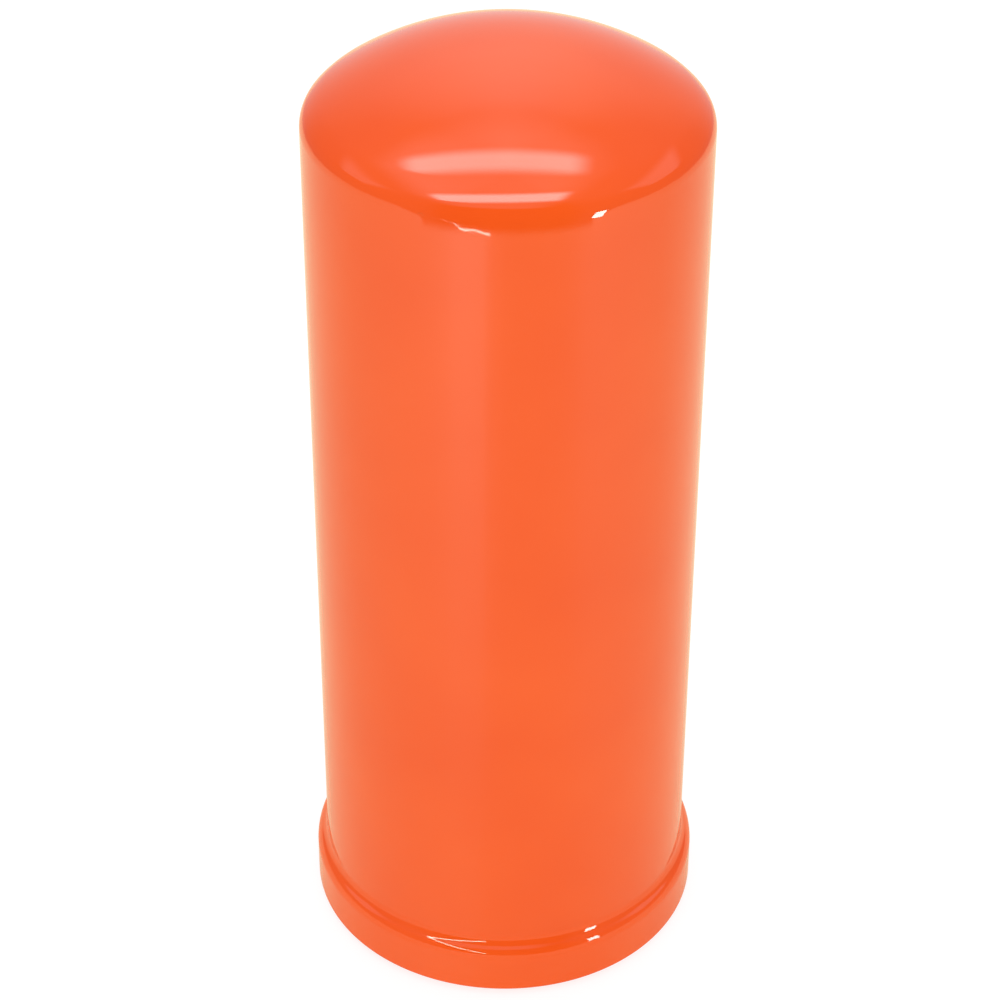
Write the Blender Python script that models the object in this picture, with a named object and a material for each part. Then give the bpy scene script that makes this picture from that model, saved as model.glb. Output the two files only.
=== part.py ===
"""Spin-on oil filter, standing mouth down on its gasket: can, plate, valves and filter element.

Metres, +Z up, the turning axis on Z. The origin is the middle of the gasket's sealing face.
"""

import math

import bmesh
import bpy
from mathutils import Matrix

# Driving dimensions
GAP = 0.0003
SHEET = 0.0008
THIN_SHEET = 0.0006
CAN_RADIUS = 0.0465
MOUTH_RADIUS = 0.04914
SEAM_BOTTOM = 0.0015
STEP_MIDDLE = SEAM_BOTTOM + 0.0133
STEP_HEIGHT = 0.0061
WALL_TOP = SEAM_BOTTOM + 0.2194
EDGE_RADIUS = 0.0009
CURL_DEPTH = 0.0042

KNUCKLE_RADIUS = 0.00595
KNUCKLE_END = math.radians(41.5)
SHOULDER_RADIUS = 0.0194
SHOULDER_END = math.radians(55.9)

GASKET_INNER = 0.0310
GASKET_OUTER = 0.0360
GASKET_HEIGHT = 0.0059
COMPOUND_HEIGHT = 0.0005

PLATE_THICKNESS = 0.0050
PLATE_RADIUS = MOUTH_RADIUS - SHEET - 0.00044
THREAD_MINOR_RADIUS = 0.01155
HUB_RADIUS = 0.0155
HUB_RISE = 0.0139
PORT_RADIUS = 0.0045
PORT_CIRCLE = 0.0235
PORT_COUNT = 8

COLLAR_WALL = 0.0022
LIP_RADIUS = 0.0312
LIP_RISE = 0.0011
LIP_THICKNESS = 0.0009

CAP_RADIUS = 0.0415
CAP_HOLE_RADIUS = 0.0175
CAP_SHEET = 0.0010
CAP_RIM = 0.0062
BEAD_HEIGHT = 0.0018
TUBE_RADIUS = 0.0196
ELEMENT_HEIGHT = 0.1767

PLEATS = 40
PLEAT_TIP = 0.0398
PLEAT_ROOT = 0.0203
PAPER = 0.0008

VALVE_PORT_RADIUS = 0.0090
VALVE_RADIUS = 0.0118
SEAT_RADIUS = 0.0175
NECK_RADIUS = 0.0137
CAGE_DEPTH = 0.0182
STEM_RADIUS = 0.0020

ROUND = 40
SMALL_ROUND = 24
CAN_ROUND = 48

# Heights worked out from them
COMPOUND_Z = SEAM_BOTTOM + SHEET + GAP
LID_Z = COMPOUND_Z + COMPOUND_HEIGHT + GAP
PLATE_Z = GASKET_HEIGHT + GAP + THIN_SHEET + GAP
PLATE_TOP = PLATE_Z + PLATE_THICKNESS
HUB_TOP = PLATE_TOP + HUB_RISE
DIAPHRAGM_Z = PLATE_TOP + GAP
CAP_Z = HUB_TOP - 0.0022
BED_Z = CAP_Z + CAP_SHEET + GAP
TOP_CAP_Z = CAP_Z + ELEMENT_HEIGHT
CAP_TOP = TOP_CAP_Z
DISC_TOP = CAP_TOP - CAP_SHEET
SEAT_FACE = CAP_TOP + GAP


def empty(name, height, parent=None):
    """A parent for the pieces of one moving body, on the turning axis."""
    holder = bpy.data.objects.new(name, None)
    bpy.context.scene.collection.objects.link(holder)
    holder.empty_display_size = 0.01
    holder["height"] = height
    attach(holder, parent, height)
    return holder


def attach(obj, parent, height):
    """Stands a piece at a height on the axis, under its parent empty."""
    obj.parent = parent
    obj.location = (0.0, 0.0, height - (parent["height"] if parent else 0.0))


def material(name, colour, roughness, metallic=0.0):
    """A Principled finish, made once for each name."""
    found = bpy.data.materials.get(name)
    if found:
        return found
    made = bpy.data.materials.new(name)
    made.use_nodes = True
    shader = made.node_tree.nodes["Principled BSDF"]
    shader.inputs["Base Color"].default_value = (*colour, 1.0)
    shader.inputs["Roughness"].default_value = roughness
    shader.inputs["Metallic"].default_value = metallic
    made.diffuse_color = (*colour, 1.0)
    return made


def piece(name, mesh_tools, finish, parent, height):
    """Turns a bmesh into a named, smooth-shaded object at its place."""
    bmesh.ops.recalc_face_normals(mesh_tools, faces=mesh_tools.faces)
    mesh = bpy.data.meshes.new(name)
    mesh_tools.to_mesh(mesh)
    mesh_tools.free()
    mesh.shade_smooth()
    mesh.set_sharp_from_angle(angle=math.radians(35))
    mesh.materials.append(finish)
    obj = bpy.data.objects.new(name, mesh)
    bpy.context.scene.collection.objects.link(obj)
    attach(obj, parent, height)
    return obj


def turned(name, section, finish, parent, height, steps=ROUND, closed=True):
    """Turns a section of (radius, height) points about Z, as a ring or down to the axis."""
    shape = bmesh.new()
    points = [shape.verts.new((radius, 0.0, z)) for radius, z in section]
    edges = [shape.edges.new(pair) for pair in zip(points, points[1:])]
    if closed:
        edges.append(shape.edges.new((points[-1], points[0])))
    bmesh.ops.spin(
        shape,
        geom=points + edges,
        cent=(0.0, 0.0, 0.0),
        axis=(0.0, 0.0, 1.0),
        angle=math.tau,
        steps=steps,
        use_merge=False,
        use_duplicate=False,
    )
    bmesh.ops.remove_doubles(shape, verts=shape.verts, dist=0.00001)
    return piece(name, shape, finish, parent, height)


def ring(name, inner, outer, tall, finish, parent, height, steps=ROUND, chamfer=0.0):
    """A plain turned ring, with its outer corners taken off where a chamfer is given."""
    section = [(inner, 0.0), (outer - chamfer, 0.0)]
    if chamfer:
        section.append((outer, chamfer))
        section.append((outer, tall - chamfer))
    section.append((outer - chamfer, tall))
    section.append((inner, tall))
    return turned(name, section, finish, parent, height, steps)


def arc(centre, radius, start, end, parts):
    """Points on an arc in the section plane, its two ends included."""
    turns = [start + (end - start) * i / parts for i in range(parts + 1)]
    return [(centre[0] + radius * math.cos(a), centre[1] + radius * math.sin(a)) for a in turns]


def can_side(inset):
    """One face of the can's sheet from crown to curl; inset 0 is the outer face."""
    knuckle_centre = (CAN_RADIUS - KNUCKLE_RADIUS, WALL_TOP)
    shoulder_shift = KNUCKLE_RADIUS - SHOULDER_RADIUS
    shoulder_centre = (
        knuckle_centre[0] + shoulder_shift * math.cos(KNUCKLE_END),
        knuckle_centre[1] + shoulder_shift * math.sin(KNUCKLE_END),
    )
    crown_radius = SHOULDER_RADIUS + shoulder_centre[0] / math.cos(SHOULDER_END)
    crown_z = shoulder_centre[1] - (crown_radius - SHOULDER_RADIUS) * math.sin(SHOULDER_END)
    half_step = (MOUTH_RADIUS - CAN_RADIUS) / 2
    step_radius = (half_step**2 + (STEP_HEIGHT / 2) ** 2) / (2 * half_step)
    step_turn = math.asin(STEP_HEIGHT / 2 / step_radius)
    step_low = (MOUTH_RADIUS - step_radius, STEP_MIDDLE - STEP_HEIGHT / 2)
    step_high = (CAN_RADIUS + step_radius, STEP_MIDDLE + STEP_HEIGHT / 2)
    edge_centre = (MOUTH_RADIUS - EDGE_RADIUS, SEAM_BOTTOM + EDGE_RADIUS)
    side = arc((0.0, crown_z), crown_radius - inset, math.pi / 2, SHOULDER_END, 5)
    side += arc(shoulder_centre, SHOULDER_RADIUS - inset, SHOULDER_END, KNUCKLE_END, 2)[1:]
    side += arc(knuckle_centre, KNUCKLE_RADIUS - inset, KNUCKLE_END, 0.0, 4)[1:]
    side += arc(step_high, -(step_radius + inset), 0.0, step_turn, 3)
    side += arc(step_low, step_radius - inset, step_turn, 0.0, 3)[1:]
    side += arc(edge_centre, max(EDGE_RADIUS - inset, 0.0001), 0.0, -math.pi / 2, 2)
    side.append((MOUTH_RADIUS - CURL_DEPTH, SEAM_BOTTOM + inset))
    side[0] = (0.0, side[0][1])
    return side


def round_cutter(name, radius, depth, places, sides=12):
    """A hidden cutter of upright round rods, one at each place."""
    shape = bmesh.new()
    for x, y, z in places:
        bmesh.ops.create_cone(
            shape,
            cap_ends=True,
            segments=sides,
            radius1=radius,
            radius2=radius,
            depth=depth,
            matrix=Matrix.Translation((x, y, z)),
        )
    return hidden_cutter(name, shape)


def box_cutter(name, size, middle, turn):
    """A hidden cutter in the shape of a box, turned about Z."""
    shape = bmesh.new()
    place = Matrix.Rotation(turn, 4, "Z") @ Matrix.Translation(middle) @ Matrix.Diagonal((*size, 1.0))
    bmesh.ops.create_cube(shape, size=1.0, matrix=place)
    return hidden_cutter(name, shape)


def hidden_cutter(name, shape):
    """Links a cutter that neither renders nor becomes a piece."""
    mesh = bpy.data.meshes.new(name)
    shape.to_mesh(mesh)
    shape.free()
    cutter = bpy.data.objects.new(name, mesh)
    bpy.context.scene.collection.objects.link(cutter)
    cutter.hide_render = True
    cutter.display_type = "WIRE"
    return cutter


def cut(obj, cutter):
    """Takes a cutter's shape out of a piece."""
    boolean = obj.modifiers.new(cutter.name, "BOOLEAN")
    boolean.operation = "DIFFERENCE"
    boolean.solver = "EXACT"
    boolean.object = cutter


def coil(name, radius, wire, low, high, turns, finish, parent, sides, per_turn=14):
    """A coil spring as one swept wire, whose outer faces reach from low to high."""
    count = int(turns * per_turn)
    start = low + wire
    rise = high - low - 2 * wire
    curve = bpy.data.curves.new(name, "CURVE")
    curve.dimensions = "3D"
    spline = curve.splines.new("POLY")
    spline.points.add(count)
    for i, point in enumerate(spline.points):
        turn = math.tau * i / per_turn
        z = start + rise * i / count - parent["height"]
        point.co = (radius * math.cos(turn), radius * math.sin(turn), z, 1.0)
    curve.bevel_depth = wire
    curve.bevel_resolution = sides
    curve.use_fill_caps = True
    curve.materials.append(finish)
    obj = bpy.data.objects.new(name, curve)
    bpy.context.scene.collection.objects.link(obj)
    attach(obj, parent, parent["height"])
    return obj


def make_can(parent, paint):
    """Deep-drawn can: domed end, straight wall, stepped mouth and the edge curled under the lid."""
    section = can_side(0.0) + list(reversed(can_side(SHEET)))
    turned("can_shell", section, paint, parent, 0.0, CAN_ROUND, closed=False)


def make_lid(parent, tinplate):
    """Stamped lid: a channel for the gasket, a flat flange and a hem that stands in the can's mouth."""
    inner = GASKET_INNER - GAP
    outer = GASKET_OUTER + GAP
    hem = MOUTH_RADIUS - SHEET - 0.00034
    ceiling = GASKET_HEIGHT + GAP - LID_Z
    section = [
        (inner - THIN_SHEET, -0.0012),
        (inner, -0.0012),
        (inner, ceiling),
        (outer, ceiling),
        (outer, 0.0),
        (hem, 0.0),
        (hem, 0.0034),
        (hem - THIN_SHEET, 0.0034),
        (hem - THIN_SHEET, THIN_SHEET),
        (outer + THIN_SHEET, THIN_SHEET),
        (outer + THIN_SHEET, ceiling + THIN_SHEET),
        (inner - THIN_SHEET, ceiling + THIN_SHEET),
    ]
    turned("seaming_lid", section, tinplate, parent, LID_Z)


def make_seals(parent, rubber, compound):
    """The gasket that seals on the engine, and the compound inside the rolled seam."""
    width = GASKET_OUTER - GASKET_INNER
    corner = width * 0.12
    section = [
        (GASKET_INNER + corner, 0.0),
        (GASKET_OUTER - corner, 0.0),
        (GASKET_OUTER, corner),
        (GASKET_OUTER, GASKET_HEIGHT),
        (GASKET_INNER, GASKET_HEIGHT),
        (GASKET_INNER, corner),
    ]
    turned("sealing_gasket", section, rubber, parent, 0.0)
    inner = MOUTH_RADIUS - CURL_DEPTH + GAP
    outer = MOUTH_RADIUS - SHEET - 0.0009
    ring("seam_compound", inner, outer, COMPOUND_HEIGHT, compound, parent, COMPOUND_Z)


def make_plate(parent, steel):
    """Thick plate with a threaded hub drawn up from it and a circle of inlet ports."""
    lead = 0.0008
    section = [
        (THREAD_MINOR_RADIUS + lead, 0.0),
        (PLATE_RADIUS, 0.0),
        (PLATE_RADIUS, PLATE_THICKNESS - lead),
        (PLATE_RADIUS - lead, PLATE_THICKNESS),
        (HUB_RADIUS, PLATE_THICKNESS),
        (HUB_RADIUS, PLATE_THICKNESS + HUB_RISE - lead),
        (HUB_RADIUS - lead, PLATE_THICKNESS + HUB_RISE),
        (THREAD_MINOR_RADIUS, PLATE_THICKNESS + HUB_RISE),
        (THREAD_MINOR_RADIUS, lead),
    ]
    plate = turned("tapping_plate", section, steel, parent, PLATE_Z)
    places = []
    for i in range(PORT_COUNT):
        turn = math.tau * i / PORT_COUNT
        middle = PLATE_Z + PLATE_THICKNESS / 2
        places.append((PORT_CIRCLE * math.cos(turn), PORT_CIRCLE * math.sin(turn), middle))
    cut(plate, round_cutter("port_cutter", PORT_RADIUS, PLATE_THICKNESS + 0.004, places))


def make_drain_valve(canister, holder, rubber):
    """Anti-drain diaphragm: a collar that grips the hub, and the lip that lifts off the ports."""
    inner = HUB_RADIUS + GAP
    outer = inner + COLLAR_WALL
    tall = CAP_Z - 0.0028 - GAP - DIAPHRAGM_Z
    ring("drain_valve_collar", inner, outer, tall, rubber, canister, DIAPHRAGM_Z, SMALL_ROUND)
    foot = LIP_RADIUS - 0.0022
    section = [
        (outer + GAP, LIP_RISE),
        (foot, 0.0),
        (LIP_RADIUS, 0.0),
        (LIP_RADIUS, LIP_THICKNESS * 0.7),
        (foot, LIP_THICKNESS),
        (outer + GAP, LIP_RISE + LIP_THICKNESS),
    ]
    turned("drain_valve_lip", section, rubber, holder, DIAPHRAGM_Z, SMALL_ROUND)


def make_end_caps(parent, tinplate, glue, rubber):
    """Pressed end caps, the glue beds inside them, and the grommet that seals the element on the hub."""
    floor_in = CAP_HOLE_RADIUS
    wall = CAP_RADIUS - THIN_SHEET
    pan = [
        (floor_in, 0.0),
        (CAP_RADIUS - 0.0008, 0.0),
        (CAP_RADIUS, 0.0008),
        (CAP_RADIUS, CAP_RIM),
        (wall, CAP_RIM),
        (wall, CAP_SHEET),
        (floor_in, CAP_SHEET),
    ]
    turned("lower_end_cap", pan, tinplate, parent, CAP_Z)
    hole = NECK_RADIUS + GAP
    lid = [(max(radius, hole) if radius == floor_in else radius, -z) for radius, z in pan]
    lid[0] = (hole, 0.0)
    lid[-1] = (hole, -CAP_SHEET)
    turned("upper_end_cap", lid, tinplate, parent, CAP_TOP)
    bead_in = TUBE_RADIUS + GAP
    bead_out = wall - GAP
    ring("lower_glue_bed", bead_in, bead_out, BEAD_HEIGHT, glue, parent, BED_Z)
    top_bed = CAP_TOP - CAP_SHEET - GAP - BEAD_HEIGHT
    ring("upper_glue_bed", bead_in, bead_out, BEAD_HEIGHT, glue, parent, top_bed)
    bore = HUB_RADIUS + GAP
    groove = CAP_HOLE_RADIUS - GAP
    rim = CAP_HOLE_RADIUS + 0.0011
    section = [
        (bore, 0.0),
        (rim, 0.0),
        (rim, 0.0025),
        (groove, 0.0025),
        (groove, 0.0025 + CAP_SHEET + 2 * GAP),
        (rim, 0.0025 + CAP_SHEET + 2 * GAP),
        (rim, 0.0060),
        (bore, 0.0060),
    ]
    turned("hub_grommet", section, rubber, parent, CAP_Z - 0.0028, SMALL_ROUND)


def make_centre_tube(parent, steel):
    """Perforated centre tube: a rolled sheet with rows of windows."""
    columns, rows, land = 12, 7, 0.4
    low = BED_Z
    tall = CAP_TOP - CAP_SHEET - GAP - low
    levels = [0.0]
    for i in range(rows):
        levels.append(tall * (i + land) / (rows + land - 0.2))
        levels.append(tall * (i + 1) / (rows + land - 0.2))
    levels.append(tall)
    shape = bmesh.new()
    grid = []
    for z in levels:
        row = []
        for i in range(columns * 2):
            turn = math.tau * i / (columns * 2)
            row.append(shape.verts.new((TUBE_RADIUS * math.cos(turn), TUBE_RADIUS * math.sin(turn), z)))
        grid.append(row)
    for level in range(len(levels) - 1):
        for i in range(columns * 2):
            if level % 2 == 1 and (i + level // 2) % 2:
                continue
            j = (i + 1) % (columns * 2)
            shape.faces.new((grid[level][i], grid[level][j], grid[level + 1][j], grid[level + 1][i]))
    tube = piece("centre_tube", shape, steel, parent, low)
    wall = tube.modifiers.new("wall", "SOLIDIFY")
    wall.thickness = THIN_SHEET
    wall.offset = -1.0


def make_media(parent, paper, steel, glue):
    """Pleated paper, the clip on its joining fold, and two glued bands round the pleat tips."""
    low = BED_Z + BEAD_HEIGHT + GAP
    tall = CAP_TOP - CAP_SHEET - GAP - BEAD_HEIGHT - GAP - low
    pitch = math.tau / PLEATS
    shape = bmesh.new()
    outer, inner = [], []
    for i in range(PLEATS):
        peak = i * pitch
        valley = peak + pitch / 2
        for turn, radius, half in ((peak, PLEAT_TIP, 0.0010), (valley, PLEAT_ROOT + PAPER, 0.00025)):
            for side in (-1, 1):
                a = turn + side * half / radius
                outer.append(shape.verts.new((radius * math.cos(a), radius * math.sin(a), 0.0)))
        for turn, radius, half in ((peak, PLEAT_TIP - PAPER, 0.00035), (valley, PLEAT_ROOT, 0.0009)):
            for side in (-1, 1):
                a = turn + side * half / radius
                inner.append(shape.verts.new((radius * math.cos(a), radius * math.sin(a), 0.0)))
    count = len(outer)
    base = []
    for i in range(count):
        j = (i + 1) % count
        base.append(shape.faces.new((outer[i], outer[j], inner[j], inner[i])))
    grown = bmesh.ops.extrude_face_region(shape, geom=base, use_keep_orig=True)
    raised = [part for part in grown["geom"] if isinstance(part, bmesh.types.BMVert)]
    bmesh.ops.translate(shape, verts=raised, vec=(0.0, 0.0, tall))
    piece("pleated_media", shape, paper, parent, low)

    strip = bmesh.new()
    size = (0.0085, 0.0010, tall - 0.002)
    middle = ((PLEAT_TIP - 0.0002) - size[0] / 2, 0.0, tall / 2)
    place = Matrix.Rotation(pitch / 2, 4, "Z") @ Matrix.Translation(middle) @ Matrix.Diagonal((*size, 1.0))
    bmesh.ops.create_cube(strip, size=1.0, matrix=place)
    piece("media_seam_clip", strip, steel, parent, low)

    for name, part in (("lower_pleat_band", 1 / 3), ("upper_pleat_band", 2 / 3)):
        inner_radius = PLEAT_TIP + 0.0003
        ring(name, inner_radius, inner_radius + 0.0010, 0.0028, glue, parent, low + tall * part, 32)


def make_bypass(element, holder, steel, rubber, spring_steel):
    """Bypass valve: seat in the top cap, sprung plate with its seal, cage, stem clip and spring."""
    neck_low = -0.0045
    section = [
        (VALVE_PORT_RADIUS, 0.0),
        (NECK_RADIUS - 0.0011, 0.0),
        (NECK_RADIUS - 0.0011, neck_low),
        (NECK_RADIUS, neck_low),
        (NECK_RADIUS, 0.0),
        (SEAT_RADIUS, 0.0),
        (SEAT_RADIUS, 0.0012),
        (VALVE_PORT_RADIUS, 0.0012),
    ]
    turned("bypass_seat", section, steel, element, SEAT_FACE, SMALL_ROUND)

    seal = 0.0013
    seal_in = 0.0070
    plate = 0.0010
    plate_z = SEAT_FACE - GAP - seal - GAP - plate
    stem_low = plate_z - CAGE_DEPTH - 0.0055
    ring("bypass_seal", seal_in, VALVE_RADIUS, seal, rubber, holder, SEAT_FACE - GAP - seal, SMALL_ROUND)
    boss = seal_in - GAP
    body = [
        (0.0, seal + GAP + plate - 0.0001),
        (boss, seal + GAP + plate - 0.0001),
        (boss, plate),
        (VALVE_RADIUS, plate),
        (VALVE_RADIUS, 0.0),
        (STEM_RADIUS, 0.0),
        (STEM_RADIUS, stem_low - plate_z),
        (0.0, stem_low - plate_z),
    ]
    turned("bypass_valve_plate", body, steel, holder, plate_z, SMALL_ROUND, closed=False)
    clip_z = stem_low + 0.0012
    ring("bypass_stem_clip", STEM_RADIUS + GAP, 0.0042, 0.0009, spring_steel, holder, clip_z, 16)

    cage_in = NECK_RADIUS + GAP
    cage_out = cage_in + 0.0010
    cage_top = CAP_TOP - CAP_SHEET - GAP
    floor = cage_top - CAGE_DEPTH
    section = [
        (STEM_RADIUS + 0.0006, 0.0),
        (cage_out, 0.0),
        (cage_out, CAGE_DEPTH - 0.0010),
        (TUBE_RADIUS - THIN_SHEET - 0.0009, CAGE_DEPTH - 0.0010),
        (TUBE_RADIUS - THIN_SHEET - 0.0009, CAGE_DEPTH),
        (cage_in, CAGE_DEPTH),
        (cage_in, 0.0010),
        (STEM_RADIUS + 0.0006, 0.0010),
    ]
    cage = turned("bypass_cage", section, steel, element, floor, SMALL_ROUND)
    window = (3 * cage_out, cage_in * 1.1, CAGE_DEPTH - 0.0050)
    for side in range(2):
        middle = (0.0, 0.0, floor + 0.0025 + window[2] / 2)
        cut(cage, box_cutter(f"cage_window_{side}", window, middle, side * math.pi / 2))
    spring_low = floor + 0.0010 + GAP
    coil("bypass_spring", 0.0068, 0.0006, spring_low, plate_z - GAP, 6, spring_steel, element, 0, 12)


def make_element_spring(canister, element, tinplate, spring_steel):
    """Cup on the top cap and the coil spring that holds the element down from the dome."""
    inner = SEAT_RADIUS + 0.0004
    section = [
        (inner, 0.0),
        (0.0252, 0.0),
        (0.0252, 0.0030),
        (0.0244, 0.0030),
        (0.0244, 0.0010),
        (inner, 0.0010),
    ]
    turned("spring_cup", section, tinplate, element, SEAT_FACE, SMALL_ROUND)
    low = SEAT_FACE + 0.0010 + GAP
    coil("element_spring", 0.0215, 0.0013, low, 0.2356, 4.5, spring_steel, canister, 1)


def main():
    """Clears the scene and makes the filter, body by body."""
    for old in list(bpy.data.objects):
        bpy.data.objects.remove(old, do_unlink=True)
    paint = material("orange_enamel", (0.85, 0.09, 0.02), 0.18)
    tinplate = material("tinplate", (0.62, 0.60, 0.55), 0.32, 1.0)
    steel = material("zinc_plated_steel", (0.50, 0.49, 0.45), 0.38, 1.0)
    spring_steel = material("spring_steel", (0.30, 0.31, 0.32), 0.30, 1.0)
    rubber = material("nitrile_rubber", (0.018, 0.018, 0.020), 0.55)
    compound = material("seam_compound", (0.55, 0.53, 0.46), 0.60)
    paper = material("filter_paper", (0.62, 0.42, 0.16), 0.85)
    glue = material("glue", (0.70, 0.62, 0.42), 0.45)

    canister = empty("canister", 0.0)
    drain_valve = empty("drain_valve", DIAPHRAGM_Z, canister)
    element = empty("element", CAP_Z, canister)
    bypass_valve = empty("bypass_valve", SEAT_FACE, element)

    make_can(canister, paint)
    make_lid(canister, tinplate)
    make_seals(canister, rubber, compound)
    make_plate(canister, steel)
    make_drain_valve(canister, drain_valve, rubber)
    make_end_caps(element, tinplate, glue, rubber)
    make_centre_tube(element, tinplate)
    make_media(element, paper, tinplate, glue)
    make_bypass(element, bypass_valve, steel, rubber, spring_steel)
    make_element_spring(canister, element, tinplate, spring_steel)


main()
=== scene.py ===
"""Looks of a spin-on oil filter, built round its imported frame.

A tall drawn can with a domed end stands mouth down on its gasket. Each sub-assembly is a class:
the can, the mouth with its lid, plate and gasket, the drain valve, the pleated element, the bypass
valve and the spring that holds the element down. Lengths are in metres and +Z is up.
"""

import logging
import math
from dataclasses import dataclass, field
from enum import Enum
from typing import Callable, Optional, Sequence, Union

import bpy
from mathutils import Matrix, Vector


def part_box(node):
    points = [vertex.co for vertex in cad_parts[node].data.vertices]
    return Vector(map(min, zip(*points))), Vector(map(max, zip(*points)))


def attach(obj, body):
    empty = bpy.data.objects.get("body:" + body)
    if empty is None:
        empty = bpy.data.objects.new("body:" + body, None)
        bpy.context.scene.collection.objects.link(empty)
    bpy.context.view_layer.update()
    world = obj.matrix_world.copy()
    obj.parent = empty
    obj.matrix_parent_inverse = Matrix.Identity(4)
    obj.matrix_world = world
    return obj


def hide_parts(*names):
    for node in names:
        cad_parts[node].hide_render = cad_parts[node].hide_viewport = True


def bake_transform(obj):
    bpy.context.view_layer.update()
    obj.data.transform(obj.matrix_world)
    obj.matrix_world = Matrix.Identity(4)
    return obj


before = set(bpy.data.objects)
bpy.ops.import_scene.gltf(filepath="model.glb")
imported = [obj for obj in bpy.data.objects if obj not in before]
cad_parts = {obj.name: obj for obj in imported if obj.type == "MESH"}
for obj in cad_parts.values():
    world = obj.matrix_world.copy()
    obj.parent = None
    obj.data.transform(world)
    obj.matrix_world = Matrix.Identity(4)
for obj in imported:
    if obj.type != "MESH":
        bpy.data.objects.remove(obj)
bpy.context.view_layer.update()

LOG = logging.getLogger("oil_filter")
MM = 0.001
GAP = 0.3 * MM
ORIGIN = (0.0, 0.0, 0.0)
STEPS_PER_TURN = 40
COIL_CLEARANCE = 2.06

NodeInput = Union[float, int, Sequence[float], bpy.types.NodeSocket]
Point = tuple[float, float]


class Body(Enum):
    """The bodies that pieces ride on."""

    CANISTER = "canister"
    DRAIN_VALVE = "drain_valve"
    ELEMENT = "element"
    BYPASS_VALVE = "bypass_valve"


class Slot(Enum):
    """The material slots that the finishes name."""

    ENAMEL = "orange_enamel"
    TINPLATE = "tinplate"
    PLATED = "zinc_plated_steel"
    SPRING = "spring_steel"
    RUBBER = "nitrile_rubber"
    COMPOUND = "seam_compound"
    PAPER = "filter_paper"
    GLUE = "glue"


# ---------------------------------------------------------------------------------------------
# Nodes and colours
# ---------------------------------------------------------------------------------------------


def linear(hex_colour: str) -> tuple[float, float, float, float]:
    """Turns an sRGB hex colour into linear light.

    Args:
        hex_colour: Six hex digits, with or without a leading #.

    Returns:
        The linear colour with an alpha of 1.
    """
    digits = hex_colour.lstrip("#")
    parts = [int(digits[i : i + 2], 16) / 255 for i in (0, 2, 4)]
    red, green, blue = (p / 12.92 if p <= 0.04045 else ((p + 0.055) / 1.055) ** 2.4 for p in parts)
    return (red, green, blue, 1.0)


def add_node(
    tree: bpy.types.NodeTree,
    kind: str,
    inputs: Optional[dict[Union[str, int], NodeInput]] = None,
    **settings: object,
) -> bpy.types.Node:
    """Adds one shader node.

    Args:
        tree: The node tree that it goes in.
        kind: The node's type name, without the ShaderNode in front.
        inputs: A value for each input by name or number, or the socket to link to it.
        **settings: Properties of the node itself.

    Returns:
        The new node.
    """
    made = tree.nodes.new(f"ShaderNode{kind}")
    for name, value in settings.items():
        setattr(made, name, value)
    for key, value in (inputs or {}).items():
        if isinstance(value, bpy.types.NodeSocket):
            tree.links.new(value, made.inputs[key])
        else:
            made.inputs[key].default_value = value
    return made


@dataclass(frozen=True)
class Finish:
    """How a material looks; each kind of finish adds its own nodes."""

    name: str
    slot: Slot
    colour: str
    roughness: float
    metallic: float = 0.0

    def material(self) -> bpy.types.Material:
        """Makes the material once, and finds it again after that.

        Returns:
            The material with all of its nodes.
        """
        found = bpy.data.materials.get(self.name)
        if found:
            return found
        made = bpy.data.materials.new(self.name)
        made.use_nodes = True
        made.diffuse_color = linear(self.colour)
        tree = made.node_tree
        shader = tree.nodes["Principled BSDF"]
        shader.inputs["Base Color"].default_value = linear(self.colour)
        shader.inputs["Roughness"].default_value = self.roughness
        shader.inputs["Metallic"].default_value = self.metallic
        place = add_node(tree, "TexCoord").outputs["Object"]
        self.dress(tree, shader, place)
        return made

    def dress(self, tree: bpy.types.NodeTree, shader: bpy.types.Node, place: bpy.types.NodeSocket) -> None:
        """Adds the finish's own nodes.

        Args:
            tree: The material's node tree.
            shader: Its Principled shader.
            place: The object coordinates.
        """

    def tint(
        self,
        tree: bpy.types.NodeTree,
        shader: bpy.types.Node,
        amount: bpy.types.NodeSocket,
        other: str,
    ) -> bpy.types.NodeSocket:
        """Mixes the base colour with another one.

        Args:
            tree: The material's node tree.
            shader: Its Principled shader, whose base colour is set to the mix.
            amount: How much of the other colour shows, from 0 to 1.
            other: The other colour, as sRGB hex.

        Returns:
            The mixed colour.
        """
        mix = add_node(
            tree,
            "Mix",
            {0: amount, 6: linear(self.colour), 7: linear(other)},
            data_type="RGBA",
        )
        tree.links.new(mix.outputs[2], shader.inputs["Base Color"])
        return mix.outputs[2]

    def relief(
        self,
        tree: bpy.types.NodeTree,
        shader: bpy.types.Node,
        height: bpy.types.NodeSocket,
        depth: float,
        strength: float = 1.0,
    ) -> None:
        """Sends a height to the shader's normal.

        Args:
            tree: The material's node tree.
            shader: Its Principled shader.
            height: A pattern from 0 to 1.
            depth: How deep a full step of it is, in metres.
            strength: The share of the effect that shows.
        """
        bump = add_node(tree, "Bump", {"Height": height, "Distance": depth, "Strength": strength})
        tree.links.new(bump.outputs["Normal"], shader.inputs["Normal"])


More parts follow.
